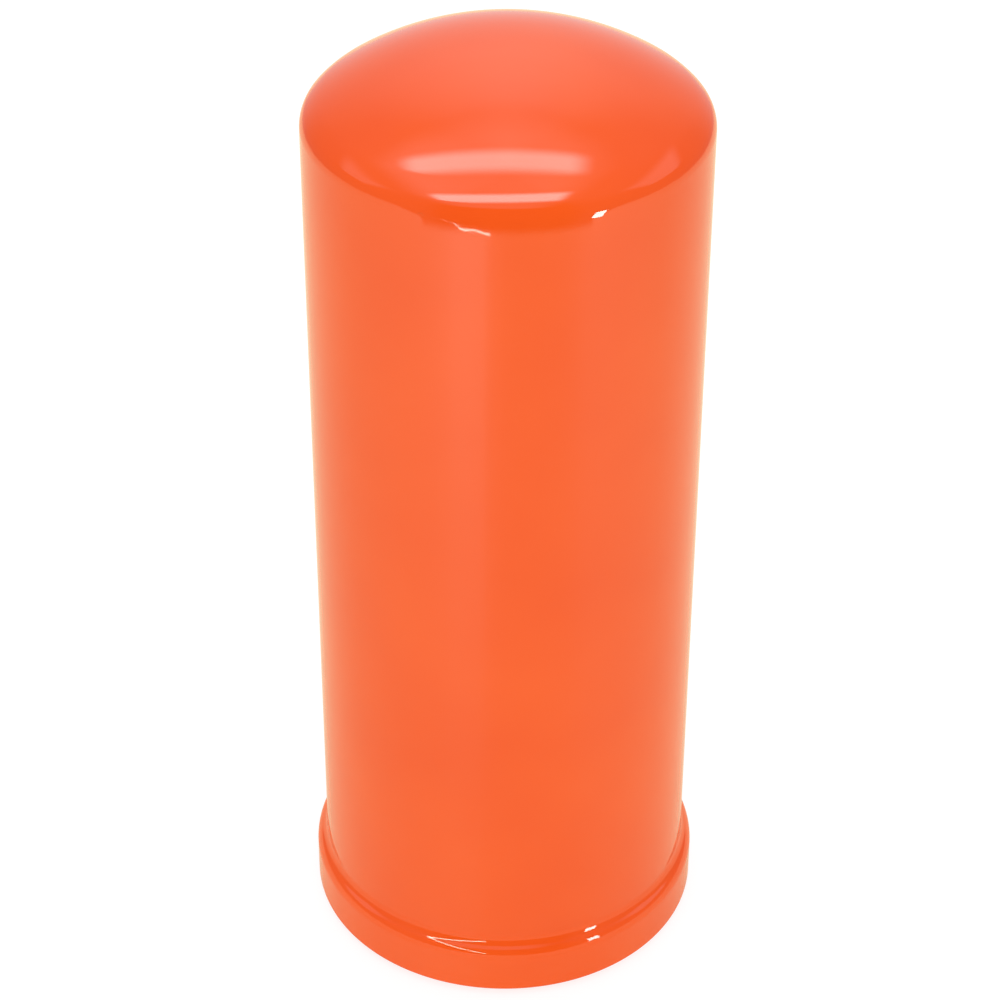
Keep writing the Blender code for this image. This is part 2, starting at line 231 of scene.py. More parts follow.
@dataclass(frozen=True)
class StovedEnamel(Finish):
    """Orange alkyd enamel, sprayed on the closed can and stoved.

    It flows out to a wet gloss, so it mirrors what is round it, with a faint orange peel, a slow
    drift in shade where the coat is thicker and a few dust nibs under the surface.
    """

    shade: str = "#ea5219"
    peel_size: float = 3.2 * MM
    peel_depth: float = 0.0011 * MM
    drift_size: float = 38 * MM
    nib_spacing: float = 21 * MM
    nib_radius: float = 0.22 * MM
    nib_colour: str = "#8a3416"

    def dress(self, tree: bpy.types.NodeTree, shader: bpy.types.Node, place: bpy.types.NodeSocket) -> None:
        """Adds the drift in shade, the nibs, the orange peel and the wet gloss of the top coat."""
        drift = add_node(tree, "TexNoise", {"Vector": place, "Scale": 1 / self.drift_size, "Detail": 2.0})
        share = add_node(
            tree,
            "MapRange",
            {"Value": drift.outputs["Fac"], 1: 0.35, 2: 0.7, 3: 0.0, 4: 1.0},
        )
        coat = self.tint(tree, shader, share.outputs[0], self.shade)
        cells = add_node(tree, "TexVoronoi", {"Vector": place, "Scale": 1 / self.nib_spacing})
        reach = self.nib_radius / self.nib_spacing
        nib = add_node(
            tree,
            "MapRange",
            {"Value": cells.outputs["Distance"], 1: reach * 0.5, 2: reach, 3: 0.7, 4: 0.0},
        )
        spotted = add_node(
            tree,
            "Mix",
            {0: nib.outputs[0], 6: coat, 7: linear(self.nib_colour)},
            data_type="RGBA",
        )
        tree.links.new(spotted.outputs[2], shader.inputs["Base Color"])
        peel = add_node(tree, "TexNoise", {"Vector": place, "Scale": 1 / self.peel_size, "Detail": 1.0})
        self.relief(tree, shader, peel.outputs["Fac"], self.peel_depth)
        shader.inputs["IOR"].default_value = 1.5


@dataclass(frozen=True)
class RolledTinplate(Finish):
    """Cold-rolled tinplate, stamped: bright, with the sheet's rolling lines and soft press marks.

    Where the can was sprayed after seaming, a mist of enamel reaches in over the lid's rim.
    """

    line_width: float = 0.35 * MM
    line_depth: float = 0.004 * MM
    cloud_size: float = 9 * MM
    stain: str = "#8d8676"
    mist: str = "#e8551f"
    mist_from: float = 0.0
    mist_to: float = 0.0
    mist_drift: float = 2.2 * MM
    droplet: float = 0.7 * MM

    def dress(self, tree: bpy.types.NodeTree, shader: bpy.types.Node, place: bpy.types.NodeSocket) -> None:
        """Adds rolling lines, a cloudy tin surface and, where asked for, the mist of enamel."""
        stretch = add_node(tree, "Mapping", {"Vector": place, "Scale": (1.0, 0.06, 1.0)})
        lines = add_node(
            tree,
            "TexNoise",
            {"Vector": stretch.outputs[0], "Scale": 1 / self.line_width, "Detail": 3.0},
        )
        cloud = add_node(tree, "TexNoise", {"Vector": place, "Scale": 1 / self.cloud_size, "Detail": 4.0})
        share = add_node(tree, "MapRange", {"Value": cloud.outputs["Fac"], 1: 0.45, 2: 0.8, 3: 0.0, 4: 0.55})
        colour = self.tint(tree, shader, share.outputs[0], self.stain)
        rough = add_node(
            tree,
            "MapRange",
            {"Value": lines.outputs["Fac"], 3: self.roughness * 0.75, 4: self.roughness * 1.4},
        )
        roughness = rough.outputs[0]
        if self.mist_to > self.mist_from:
            flat = add_node(tree, "VectorMath", {0: place, 1: (1.0, 1.0, 0.0)}, operation="MULTIPLY")
            radius = add_node(tree, "VectorMath", {0: flat.outputs[0]}, operation="LENGTH")
            spray = add_node(tree, "TexNoise", {"Vector": place, "Scale": 1 / self.droplet, "Detail": 3.0})
            edge = add_node(
                tree,
                "MapRange",
                {"Value": spray.outputs["Fac"], 3: -self.mist_drift, 4: self.mist_drift},
            )
            blurred = add_node(
                tree, "Math", {0: radius.outputs["Value"], 1: edge.outputs[0]}, operation="ADD"
            )
            mist = add_node(
                tree,
                "MapRange",
                {"Value": blurred.outputs[0], 1: self.mist_from, 2: self.mist_to},
                interpolation_type="SMOOTHSTEP",
            )
            misted = add_node(
                tree,
                "Mix",
                {0: mist.outputs[0], 6: colour, 7: linear(self.mist)},
                data_type="RGBA",
            )
            tree.links.new(misted.outputs[2], shader.inputs["Base Color"])
            metal = add_node(tree, "MapRange", {"Value": mist.outputs[0], 3: self.metallic, 4: 0.0})
            tree.links.new(metal.outputs[0], shader.inputs["Metallic"])
        tree.links.new(roughness, shader.inputs["Roughness"])
        self.relief(tree, shader, lines.outputs["Fac"], self.line_depth)


@dataclass(frozen=True)
class PlatedSteel(Finish):
    """Machined mild steel with a thin bright zinc plate.

    The tool leaves fine rings about the axis, and the zinc goes slightly blue and yellow in clouds.
    """

    ring_pitch: float = 0.45 * MM
    ring_depth: float = 0.010 * MM
    cloud_size: float = 6 * MM
    bloom: str = "#a9a184"

    def dress(self, tree: bpy.types.NodeTree, shader: bpy.types.Node, place: bpy.types.NodeSocket) -> None:
        """Adds turning rings and the passivated bloom of the zinc."""
        rings = add_node(
            tree,
            "TexWave",
            {"Vector": place, "Scale": 0.05 * math.tau / self.ring_pitch, "Distortion": 0.6, "Detail": 2.0},
            wave_type="RINGS",
            rings_direction="Z",
        )
        cloud = add_node(tree, "TexNoise", {"Vector": place, "Scale": 1 / self.cloud_size, "Detail": 5.0})
        share = add_node(tree, "MapRange", {"Value": cloud.outputs["Fac"], 1: 0.4, 2: 0.75, 3: 0.0, 4: 0.7})
        self.tint(tree, shader, share.outputs[0], self.bloom)
        rough = add_node(
            tree,
            "MapRange",
            {"Value": cloud.outputs["Fac"], 1: 0.3, 2: 0.8, 3: self.roughness * 0.8, 4: self.roughness * 1.5},
        )
        tree.links.new(rough.outputs[0], shader.inputs["Roughness"])
        self.relief(tree, shader, rings.outputs["Fac"], self.ring_depth, 0.6)


@dataclass(frozen=True)
class MouldedRubber(Finish):
    """Nitrile rubber, compression moulded: near black and dull, with a grey bloom of wax."""

    grain: float = 0.25 * MM
    grain_depth: float = 0.02 * MM
    bloom_size: float = 5 * MM
    bloom: str = "#34342f"

    def dress(self, tree: bpy.types.NodeTree, shader: bpy.types.Node, place: bpy.types.NodeSocket) -> None:
        """Adds the bloom, the fine tooth of the mould and an uneven dullness."""
        bloom = add_node(tree, "TexNoise", {"Vector": place, "Scale": 1 / self.bloom_size, "Detail": 6.0})
        share = add_node(tree, "MapRange", {"Value": bloom.outputs["Fac"], 1: 0.45, 2: 0.75, 3: 0.0, 4: 0.8})
        self.tint(tree, shader, share.outputs[0], self.bloom)
        rough = add_node(
            tree,
            "MapRange",
            {"Value": bloom.outputs["Fac"], 1: 0.3, 2: 0.8, 3: self.roughness * 0.8, 4: self.roughness * 1.3},
        )
        tree.links.new(rough.outputs[0], shader.inputs["Roughness"])
        tooth = add_node(tree, "TexNoise", {"Vector": place, "Scale": 1 / self.grain, "Detail": 2.0})
        self.relief(tree, shader, tooth.outputs["Fac"], self.grain_depth, 0.5)


@dataclass(frozen=True)
class DrawnWire(Finish):
    """Oil-tempered spring wire: dark, smooth and slightly oily, with faint draw marks."""

    tempered: str = "#4a4038"
    cloud_size: float = 4 * MM
    mark_width: float = 0.2 * MM
    mark_depth: float = 0.008 * MM

    def dress(self, tree: bpy.types.NodeTree, shader: bpy.types.Node, place: bpy.types.NodeSocket) -> None:
        """Adds the brown and blue of tempering, and fine scratches."""
        cloud = add_node(tree, "TexNoise", {"Vector": place, "Scale": 1 / self.cloud_size, "Detail": 4.0})
        share = add_node(tree, "MapRange", {"Value": cloud.outputs["Fac"], 1: 0.4, 2: 0.7})
        self.tint(tree, shader, share.outputs[0], self.tempered)
        marks = add_node(tree, "TexNoise", {"Vector": place, "Scale": 1 / self.mark_width, "Detail": 2.0})
        self.relief(tree, shader, marks.outputs["Fac"], self.mark_depth, 0.5)


@dataclass(frozen=True)
class ResinPaper(Finish):
    """Cellulose filter paper with cured phenolic resin: matt, tan and visibly fibrous."""

    fibre: float = 0.28 * MM
    fibre_depth: float = 0.05 * MM
    dark: str = "#a06a2c"

    def dress(self, tree: bpy.types.NodeTree, shader: bpy.types.Node, place: bpy.types.NodeSocket) -> None:
        """Adds crossed fibres and the unevenness of the resin."""
        turned = add_node(tree, "Mapping", {"Vector": place, "Scale": (1.0, 1.0, 0.25)})
        fibres = add_node(
            tree,
            "TexNoise",
            {"Vector": turned.outputs[0], "Scale": 1 / self.fibre, "Detail": 6.0, "Distortion": 1.2},
        )
        share = add_node(tree, "MapRange", {"Value": fibres.outputs["Fac"], 1: 0.35, 2: 0.7})
        self.tint(tree, shader, share.outputs[0], self.dark)
        self.relief(tree, shader, fibres.outputs["Fac"], self.fibre_depth, 0.8)


@dataclass(frozen=True)
class CuredPlastisol(Finish):
    """Plastisol or sealing compound, poured and cured: soft gloss, with small craters from bubbles."""

    bubble: float = 1.6 * MM
    crater_depth: float = 0.03 * MM
    skin_size: float = 3 * MM
    pale: str = "#e6dcb8"

    def dress(self, tree: bpy.types.NodeTree, shader: bpy.types.Node, place: bpy.types.NodeSocket) -> None:
        """Adds bubbles, a paler skin and an uneven gloss."""
        cells = add_node(tree, "TexVoronoi", {"Vector": place, "Scale": 1 / self.bubble})
        crater = add_node(tree, "MapRange", {"Value": cells.outputs["Distance"], 1: 0.05, 2: 0.3})
        cloud = add_node(tree, "TexNoise", {"Vector": place, "Scale": 1 / self.skin_size, "Detail": 4.0})
        self.tint(tree, shader, cloud.outputs["Fac"], self.pale)
        self.relief(tree, shader, crater.outputs[0], self.crater_depth, 0.6)


ENAMEL = StovedEnamel("orange_stoved_enamel", Slot.ENAMEL, "#ed571c", 0.022)
LID_TIN = RolledTinplate(
    "lid_tinplate", Slot.TINPLATE, "#cfc9bb", 0.27, 1.0, mist_from=42.0 * MM, mist_to=45.5 * MM
)
TINPLATE = RolledTinplate("rolled_tinplate", Slot.TINPLATE, "#cfc9bb", 0.27, 1.0)
PLATED_STEEL = PlatedSteel("zinc_plated_steel_turned", Slot.PLATED, "#bfbdb4", 0.30, 1.0)
SPRING_WIRE = DrawnWire("tempered_spring_wire", Slot.SPRING, "#6a6c70", 0.28, 1.0)
RUBBER = MouldedRubber("nitrile_rubber_moulded", Slot.RUBBER, "#19191a", 0.46)
COMPOUND = CuredPlastisol("seam_sealing_compound", Slot.COMPOUND, "#b9b29c", 0.55, pale="#cfc9b4")
PAPER = ResinPaper("resin_filter_paper", Slot.PAPER, "#cf9a50", 0.85)
GLUE = CuredPlastisol("end_cap_plastisol", Slot.GLUE, "#d3c69a", 0.40)


# ---------------------------------------------------------------------------------------------
# Modelling as by hand
# ---------------------------------------------------------------------------------------------


def clear_selection() -> None:
    """Leaves nothing selected, in object mode."""
    if bpy.context.object and bpy.context.object.mode != "OBJECT":
        bpy.ops.object.mode_set(mode="OBJECT")
    bpy.ops.object.select_all(action="DESELECT")


def activate(obj: bpy.types.Object) -> None:
    """Makes an object the active one and the only one selected, in object mode."""
    clear_selection()
    obj.select_set(True)
    bpy.context.view_layer.objects.active = obj


def edit(obj: bpy.types.Object) -> None:
    """Opens an object in edit mode with all of it selected."""
    activate(obj)
    bpy.ops.object.mode_set(mode="EDIT")
    bpy.ops.mesh.select_mode(type="VERT")
    bpy.ops.mesh.select_all(action="SELECT")


def close_mesh(threshold: float = 0.002 * MM) -> None:
    """Merges the doubles of the mesh in edit mode, points its faces out and leaves edit mode.

    Args:
        threshold: The distance under which points become one.
    """
    bpy.ops.mesh.select_all(action="SELECT")
    bpy.ops.mesh.remove_doubles(threshold=threshold)
    bpy.ops.mesh.normals_make_consistent(inside=False)
    bpy.ops.object.mode_set(mode="OBJECT")


def apply_modifier(obj: bpy.types.Object, kind: str, **settings: object) -> None:
    """Adds a modifier and applies it.

    Args:
        obj: The object that gets it.
        kind: The modifier's type.
        **settings: Properties of the modifier.
    """
    activate(obj)
    modifier = obj.modifiers.new(kind.title(), kind)
    for name, value in settings.items():
        setattr(modifier, name, value)
    bpy.ops.object.modifier_apply(modifier=modifier.name)


def unpick(obj: bpy.types.Object, kind: str) -> None:
    """Leaves none of an object's mesh picked, and sets what edit mode picks next.

    Args:
        obj: The object, which ends in object mode.
        kind: What edit mode picks, VERT or FACE.
    """
    activate(obj)
    bpy.ops.object.mode_set(mode="EDIT")
    bpy.ops.mesh.select_mode(type=kind)
    bpy.ops.mesh.select_all(action="DESELECT")
    bpy.ops.object.mode_set(mode="OBJECT")


def pick_faces(obj: bpy.types.Object, wanted: Callable[[Vector, Vector], bool]) -> None:
    """Opens an object in edit mode with some of its faces selected.

    Args:
        obj: The object to open.
        wanted: Says from a face's middle and normal whether it is selected.
    """
    unpick(obj, "FACE")
    for face in obj.data.polygons:
        face.select = wanted(face.center, face.normal)
    bpy.ops.object.mode_set(mode="EDIT")


def pick_points(obj: bpy.types.Object, wanted: Callable[[Vector], bool]) -> None:
    """Opens an object in edit mode with some of its points selected.

    Args:
        obj: The object to open.
        wanted: Says from a point's place whether it is selected.
    """
    unpick(obj, "VERT")
    for point in obj.data.vertices:
        point.select = wanted(point.co)
    bpy.ops.object.mode_set(mode="EDIT")


def take_out(obj: bpy.types.Object, cutter: bpy.types.Object) -> None:
    """Cuts a closed shape out of a piece and throws the cutter away.

    Args:
        obj: The piece.
        cutter: The shape to take out of it.
    """
    apply_modifier(obj, "BOOLEAN", operation="DIFFERENCE", solver="EXACT", object=cutter)
    bpy.data.objects.remove(cutter, do_unlink=True)


class Section:
    """The outline of a turned piece, drawn point by point at +X and then spun about Z."""

    def __init__(self, name: str, radius: float, height: float) -> None:
        """Starts the outline with one point.

        Args:
            name: The name of the finished piece.
            radius: The first point's distance from the axis.
            height: Its height.
        """
        clear_selection()
        bpy.ops.mesh.primitive_plane_add(size=MM)
        self.obj: bpy.types.Object = bpy.context.object
        self.obj.name = name
        self.obj.data.name = name
        edit(self.obj)
        bpy.ops.mesh.merge(type="CENTER")
        bpy.ops.transform.translate(value=(radius, 0.0, height))
        self.start: Point = (radius, height)
        self.at: Point = (radius, height)

    def line(self, *points: Point) -> "Section":
        """Extrudes the last point to each of the next ones in turn."""
        for radius, height in points:
            step = (radius - self.at[0], 0.0, height - self.at[1])
            bpy.ops.mesh.extrude_region_move(TRANSFORM_OT_translate={"value": step})
            self.at = (radius, height)
        return self

    def arc(self, centre: Point, degrees: float, parts: int) -> "Section":
        """Spins the last point about a centre, which draws a true arc.

        Args:
            centre: The middle of the arc, as radius and height.
            degrees: How far it turns, positive from +X towards +Z.
            parts: How many edges it has.
        """
        turn = math.radians(degrees)
        bpy.ops.mesh.spin(steps=parts, angle=turn, center=(centre[0], 0.0, centre[1]), axis=(0.0, 1.0, 0.0))
        out, up = self.at[0] - centre[0], self.at[1] - centre[1]
        self.at = (
            centre[0] + out * math.cos(turn) - up * math.sin(turn),
            centre[1] + out * math.sin(turn) + up * math.cos(turn),
        )
        return self

    def close(self, rounding: float = 0.0, parts: int = 3) -> "Section":
        """Joins the outline's ends, and rounds all of its corners where asked.

        Args:
            rounding: The corner's size.
            parts: How many edges each corner gets.
        """
        self.line(self.start)
        bpy.ops.mesh.select_all(action="SELECT")
        bpy.ops.mesh.remove_doubles(threshold=0.001 * MM)
        if rounding:
            bpy.ops.mesh.edge_face_add()
            bpy.ops.mesh.bevel(affect="VERTICES", offset=rounding, segments=parts, clamp_overlap=True)
            bpy.ops.mesh.select_all(action="SELECT")
            bpy.ops.mesh.delete(type="ONLY_FACE")
        return self

    def turn(self, steps: int = 96) -> bpy.types.Object:
        """Spins the outline once round Z.

        Args:
            steps: How many facets go round.

        Returns:
            The closed piece.
        """
        bpy.ops.mesh.select_all(action="SELECT")
        bpy.ops.mesh.spin(steps=steps, angle=math.tau, center=ORIGIN, axis=(0.0, 0.0, 1.0))
        close_mesh()
        return self.obj


def ring(
    name: str,
    inner: float,
    outer: float,
    low: float,
    high: float,
    rounding: float = 0.15 * MM,
    steps: int = 96,
) -> bpy.types.Object:
    """Turns a ring with four rounded corners.

    Args:
        name: The piece's name.
        inner: Its bore radius.
        outer: Its outer radius.
        low: Its lowest height.
        high: Its highest height.
        rounding: The size of its corners.
        steps: How many facets go round.

    Returns:
        The closed ring.
    """
    section = Section(name, inner, low).line((outer, low), (outer, high), (inner, high))
    return section.close(rounding).turn(steps)


def coil_spring(
    name: str, radius: float, wire: float, low: float, high: float, turns: float
) -> bpy.types.Object:
    """Winds a compression spring whose end coils lie closed.

    Args:
        name: The piece's name.
        radius: From the axis to the middle of the wire.
        wire: The wire's radius.
        low: The lowest point of the wire.
        high: The highest point of the wire.
        turns: How many turns it has, the two closed ends included.

    Returns:
        The wire as one closed mesh.
    """
    count = int(turns * STEPS_PER_TURN)
    closed = COIL_CLEARANCE * wire
    rise = high - low - 2 * wire - 2 * closed
    curve = bpy.data.curves.new(name, "CURVE")
    curve.dimensions = "3D"
    spline = curve.splines.new("POLY")
    spline.points.add(count)
    for i, point in enumerate(spline.points):
        turn = i / STEPS_PER_TURN
        if turn < 1:
            height = closed * turn
        elif turn > turns - 1:
            height = closed + rise + closed * (turn - turns + 1)
        else:
            share = (turn - 1) / (turns - 2)
            height = closed + rise * share
        angle = math.tau * turn
        point.co = (radius * math.cos(angle), radius * math.sin(angle), low + wire + height, 1.0)
    curve.bevel_depth = wire
    curve.bevel_resolution = 3
    curve.use_fill_caps = True
    obj = bpy.data.objects.new(name, curve)
    bpy.context.scene.collection.objects.link(obj)
    activate(obj)
    bpy.ops.object.convert(target="MESH")
    obj = bpy.context.object
    edit(obj)
    close_mesh()
    return obj


def keep_piece(
    obj: bpy.types.Object,
    finish: Finish,
    body: Body,
    *nodes: str,
    end_body: Optional[Body] = None,
    span: Optional[tuple[float, float]] = None,
    sharp: float = 35.0,
) -> bpy.types.Object:
    """Gives a piece its finish and its body, and hides the CAD nodes that it stands for.

    Args:
        obj: The finished mesh.
        finish: Its material.
        body: The body that it rides on; a piece given both end_body and span rides on none.
        *nodes: The CAD nodes that it replaces.
        end_body: Only checked for being given; with span, the piece is baked in place and attached to no
            body.
        span: Only checked for being given; its heights are not used.
        sharp: The angle in degrees above which an edge stays sharp.

    Returns:
        The same piece.
    """
    activate(obj)
    bpy.ops.object.shade_smooth_by_angle(angle=math.radians(sharp))
    if not obj.data.materials:
        obj.data.materials.append(finish.material())
    if end_body and span:
        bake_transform(obj)
    else:
        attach(obj, body.value)
    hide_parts(*nodes)
    LOG.info("%s: %d faces on %s", obj.name, len(obj.data.polygons), body.value)
    return obj


def top_of(node: str) -> float:
    """The highest point of a CAD node."""
    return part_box(node)[1].z


def foot_of(node: str) -> float:
    """The lowest point of a CAD node."""
    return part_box(node)[0].z


def reach_of(node: str) -> float:
    """The outer radius of a CAD node."""
    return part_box(node)[1].x


# ---------------------------------------------------------------------------------------------
# Sub-assemblies
# ---------------------------------------------------------------------------------------------


@dataclass
class Can:
    """The deep-drawn can: domed end, straight wall, ogee step and the edge rolled in at the mouth."""

    wall_radius: float = 46.5 * MM
    sheet: float = 0.8 * MM
    wall_top: float = 220.9 * MM
    knuckle: float = 5.95 * MM
    knuckle_turn: float = 41.5
    shoulder: float = 19.4 * MM
    shoulder_turn: float = 55.9
    step_middle: float = 14.8 * MM
    step_height: float = 6.1 * MM
    edge: float = 0.9 * MM
    curl: float = 4.2 * MM
    guard: float = 0.5 * MM
    wall_rings: tuple[float, ...] = (165 * MM, 110 * MM, 60 * MM)
    steps: int = 288
    mouth_radius: float = field(init=False)
    bottom: float = field(init=False)

    def __post_init__(self) -> None:
        """Reads the mouth's size and the seam's height from the frame."""
        self.mouth_radius = reach_of("can_shell")
        self.bottom = foot_of("can_shell")

    def arcs(self, inset: float) -> dict[str, tuple[Point, float]]:
        """Works out the centre and radius of each arc of the wall.

        Args:
            inset: How far the face lies inside the can's outer face.

        Returns:
            The centre and radius of the crown, shoulder, knuckle and the step's two bends.
        """
        turn, wide = math.radians(self.knuckle_turn), math.radians(self.shoulder_turn)
        knuckle = (self.wall_radius - self.knuckle, self.wall_top)
        shift = self.knuckle - self.shoulder
        shoulder = (knuckle[0] + shift * math.cos(turn), knuckle[1] + shift * math.sin(turn))
        crown_radius = self.shoulder + shoulder[0] / math.cos(wide)
        crown = (0.0, shoulder[1] - (crown_radius - self.shoulder) * math.sin(wide))
        half = (self.mouth_radius - self.wall_radius) / 2
        bend = (half**2 + (self.step_height / 2) ** 2) / (2 * half)
        low = (self.mouth_radius - bend, self.step_middle - self.step_height / 2)
        high = (self.wall_radius + bend, self.step_middle + self.step_height / 2)
        return {
            "crown": (crown, crown_radius - inset),
            "shoulder": (shoulder, self.shoulder - inset),
            "knuckle": (knuckle, self.knuckle - inset),
            "high": (high, bend + inset),
            "low": (low, bend - inset),
        }

    def build(self) -> None:
        """Draws the sheet's outer face, its rolled edge and its inner face, and turns them.

        A short band guards each end of a straight run, so that its gloss stays straight.
        """
        outer, inner = self.arcs(0.0), self.arcs(self.sheet)
        bend = outer["low"][1]
        step_turn = math.degrees(math.asin(self.step_height / 2 / bend))
        crown, crown_radius = outer["crown"]
        section = Section("enamelled_can", 0.0, crown[1] + crown_radius)
        section.arc(crown, self.shoulder_turn - 90, 40)
        section.arc(outer["shoulder"][0], self.knuckle_turn - self.shoulder_turn, 8)
        section.arc(outer["knuckle"][0], -self.knuckle_turn, 18)
        foot, rim = outer["high"][0][1], outer["low"][0][1]
        for height in (self.wall_top - self.guard, *self.wall_rings, foot + self.guard, foot):
            section.line((self.wall_radius, height))
        section.arc(outer["high"][0], step_turn, 16)
        section.arc(outer["low"][0], -step_turn, 16)
        for height in (rim - self.guard, self.bottom + self.edge + self.guard, self.bottom + self.edge):
            section.line((self.mouth_radius, height))
        section.arc((self.mouth_radius - self.edge, self.bottom + self.edge), -90, 8)
        lip = self.mouth_radius - self.curl
        section.line((lip + self.sheet / 2, self.bottom))
        section.arc((lip + self.sheet / 2, self.bottom + self.sheet / 2), -180, 6)
        inside = self.mouth_radius - self.sheet
        section.line((inside, self.bottom + self.sheet), (inside, rim))
        section.arc(inner["low"][0], step_turn, 10)
        section.arc(inner["high"][0], -step_turn, 10)
        section.line((self.wall_radius - self.sheet, self.wall_top))
        section.arc(inner["knuckle"][0], self.knuckle_turn, 10)
        section.arc(inner["shoulder"][0], self.shoulder_turn - self.knuckle_turn, 5)
        section.arc(inner["crown"][0], 90 - self.shoulder_turn, 16)
        can = section.turn(self.steps)
        self.line_inside(can)
        keep_piece(can, ENAMEL, Body.CANISTER, "can_shell", sharp=60)

    def line_inside(self, can: bpy.types.Object) -> None:
        """Gives the faces that look into the can bare tinplate instead of enamel."""
        can.data.materials.append(ENAMEL.material())
        can.data.materials.append(TINPLATE.material())
        floor = self.bottom + self.sheet * 0.9
        mouth = self.mouth_radius - self.sheet * 1.5
        wall = self.wall_radius - self.sheet * 0.5
        for face in can.data.polygons:
            middle = face.center
            radius = math.hypot(middle.x, middle.y)
            out = middle.x * face.normal.x + middle.y * face.normal.y
            above = middle.z > floor
            under_dome = middle.z > self.wall_top and face.normal.z < 0
            inside = above and (out < 0 or under_dome)
            inside = inside or (above and radius < mouth and face.normal.z > 0 and middle.z < 3 * floor)
            if inside and radius < max(wall, mouth) + 2 * self.sheet:
                face.material_index = 1


@dataclass
class Mouth:
    """What closes the can: the stamped lid, the seam's compound, the gasket and the threaded plate."""

    sheet: float = 0.6 * MM
    bend: float = 0.25 * MM
    gasket_inner: float = 31.0 * MM
    hem: float = 3.4 * MM
    rib: float = 0.35 * MM
    hub_radius: float = 15.5 * MM
    plate_thickness: float = 5.0 * MM
    thread_minor: float = 11.55 * MM
    thread_major: float = 12.7 * MM
    threads_per_inch: int = 12
    port_radius: float = 4.5 * MM
    port_circle: float = 23.5 * MM
    ports: int = 8

    def build(self) -> None:
        """Builds the four pieces, from the gasket up."""
        self.gasket()
        self.compound()
        self.lid()
        self.plate()

    def gasket(self) -> None:
        """Turns the gasket, whose sealing face carries two fine raised lips."""
        outer, top = reach_of("sealing_gasket"), top_of("sealing_gasket")
        inner, low = self.gasket_inner, 0.0
        width = outer - inner
        section = Section("sealing_gasket_ring", inner, top)
        section.line((inner, low + 0.5 * MM), (inner + 0.5 * MM, low + 0.08 * MM))
        for share in (0.3, 0.7):
            middle = inner + width * share
            section.line(
                (middle - 0.35 * MM, low + 0.08 * MM), (middle, low), (middle + 0.35 * MM, low + 0.08 * MM)
            )
        section.line((outer - 0.5 * MM, low + 0.08 * MM), (outer, low + 0.5 * MM), (outer, top))
        gasket = section.close(0.06 * MM, 2).turn(144)
        keep_piece(gasket, RUBBER, Body.CANISTER, "sealing_gasket", sharp=50)

    def compound(self) -> None:
        """Turns the bead of compound that the seam squeezes flat."""
        inner = reach_of("can_shell") - 3.9 * MM
        low, high = foot_of("seam_compound"), top_of("seam_compound")
        bead = ring("seam_compound_bead", inner, reach_of("seam_compound"), low, high, 0.12 * MM, 144)
        keep_piece(bead, COMPOUND, Body.CANISTER, "seam_compound")

    def lid(self) -> None:
        """Turns the lid with its gasket channel, stiffening rib and hem."""
        box_low, box_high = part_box("seaming_lid")
        flange = box_low.z + 1.2 * MM
        hem = box_high.x
        inner = self.gasket_inner - GAP
        outer = reach_of("sealing_gasket") + GAP
        ceiling = top_of("sealing_gasket") + GAP
        rib = (outer + hem - 3 * MM) / 2
        section = Section("seaming_lid_stamping", inner - self.sheet, box_low.z)
        section.line((inner, box_low.z), (inner, ceiling), (outer, ceiling), (outer, flange))
        section.line((rib - 1.6 * MM, flange), (rib - 0.8 * MM, flange + self.rib))
        section.line((rib + 0.8 * MM, flange + self.rib), (rib + 1.6 * MM, flange), (hem, flange))
        section.line((hem, flange + self.hem), (hem - self.sheet, flange + self.hem))
        upper = flange + self.sheet
        section.line((hem - self.sheet, upper), (rib + 1.5 * MM, upper))
        section.line((rib + 0.7 * MM, upper + self.rib), (rib - 0.7 * MM, upper + self.rib))
        section.line((rib - 1.5 * MM, upper), (outer + self.sheet, upper))
        section.line((outer + self.sheet, ceiling + self.sheet), (inner - self.sheet, ceiling + self.sheet))
        lid = section.close(self.bend, 3).turn(192)
        keep_piece(lid, LID_TIN, Body.CANISTER, "seaming_lid", sharp=50)

    def plate(self) -> None:
        """Turns the plate with its drawn hub, drills the ports and taps the thread."""
        low = foot_of("tapping_plate")
        top = low + self.plate_thickness
        hub_top = top_of("tapping_plate")
        reach = reach_of("tapping_plate")
        lead = self.thread_major - self.thread_minor
        root = 0.3 * MM
        section = Section("threaded_plate", self.thread_minor, low + lead)
        section.line((self.thread_major, low), (reach - root, low), (reach, low + root))
        section.line((reach, top - 0.8 * MM), (reach - 0.8 * MM, top), (self.hub_radius + 2 * MM, top))
        section.arc((self.hub_radius + 2 * MM, top + 2 * MM), -90, 8)
        section.line((self.hub_radius, hub_top - 0.8 * MM), (self.hub_radius - 0.8 * MM, hub_top))
        section.line((self.thread_major - 0.3 * MM, hub_top), (self.thread_minor, hub_top - lead + 0.3 * MM))
        plate = section.close().turn(160)
        for cutter in self.port_cutters(low, top):
            take_out(plate, cutter)
        take_out(plate, self.tap(low, hub_top))
        keep_piece(plate, PLATED_STEEL, Body.CANISTER, "tapping_plate", sharp=25)

    def port_cutters(self, low: float, top: float) -> list[bpy.types.Object]:
        """Makes one cutter for each inlet port, wider at both ends to break the port's edges."""
        chamfer = 0.45 * MM
        bore = self.port_radius
        first = Section("port_cutter", 0.0, low - 2 * MM).line(
            (bore + chamfer + 2 * MM, low - 2 * MM),
            (bore, low + chamfer),
            (bore, top - chamfer),
            (bore + chamfer + 2 * MM, top + 2 * MM),
            (0.0, top + 2 * MM),
        )
        cutter = first.turn(48)
        made = []
        for i in range(self.ports):
            copy = cutter.copy()
            copy.data = cutter.data.copy()
            bpy.context.scene.collection.objects.link(copy)
            turn = math.tau * i / self.ports
            place = (self.port_circle * math.cos(turn), self.port_circle * math.sin(turn), 0.0)
            copy.data.transform(Matrix.Translation(place))
            made.append(copy)
        bpy.data.objects.remove(cutter, do_unlink=True)
        return made

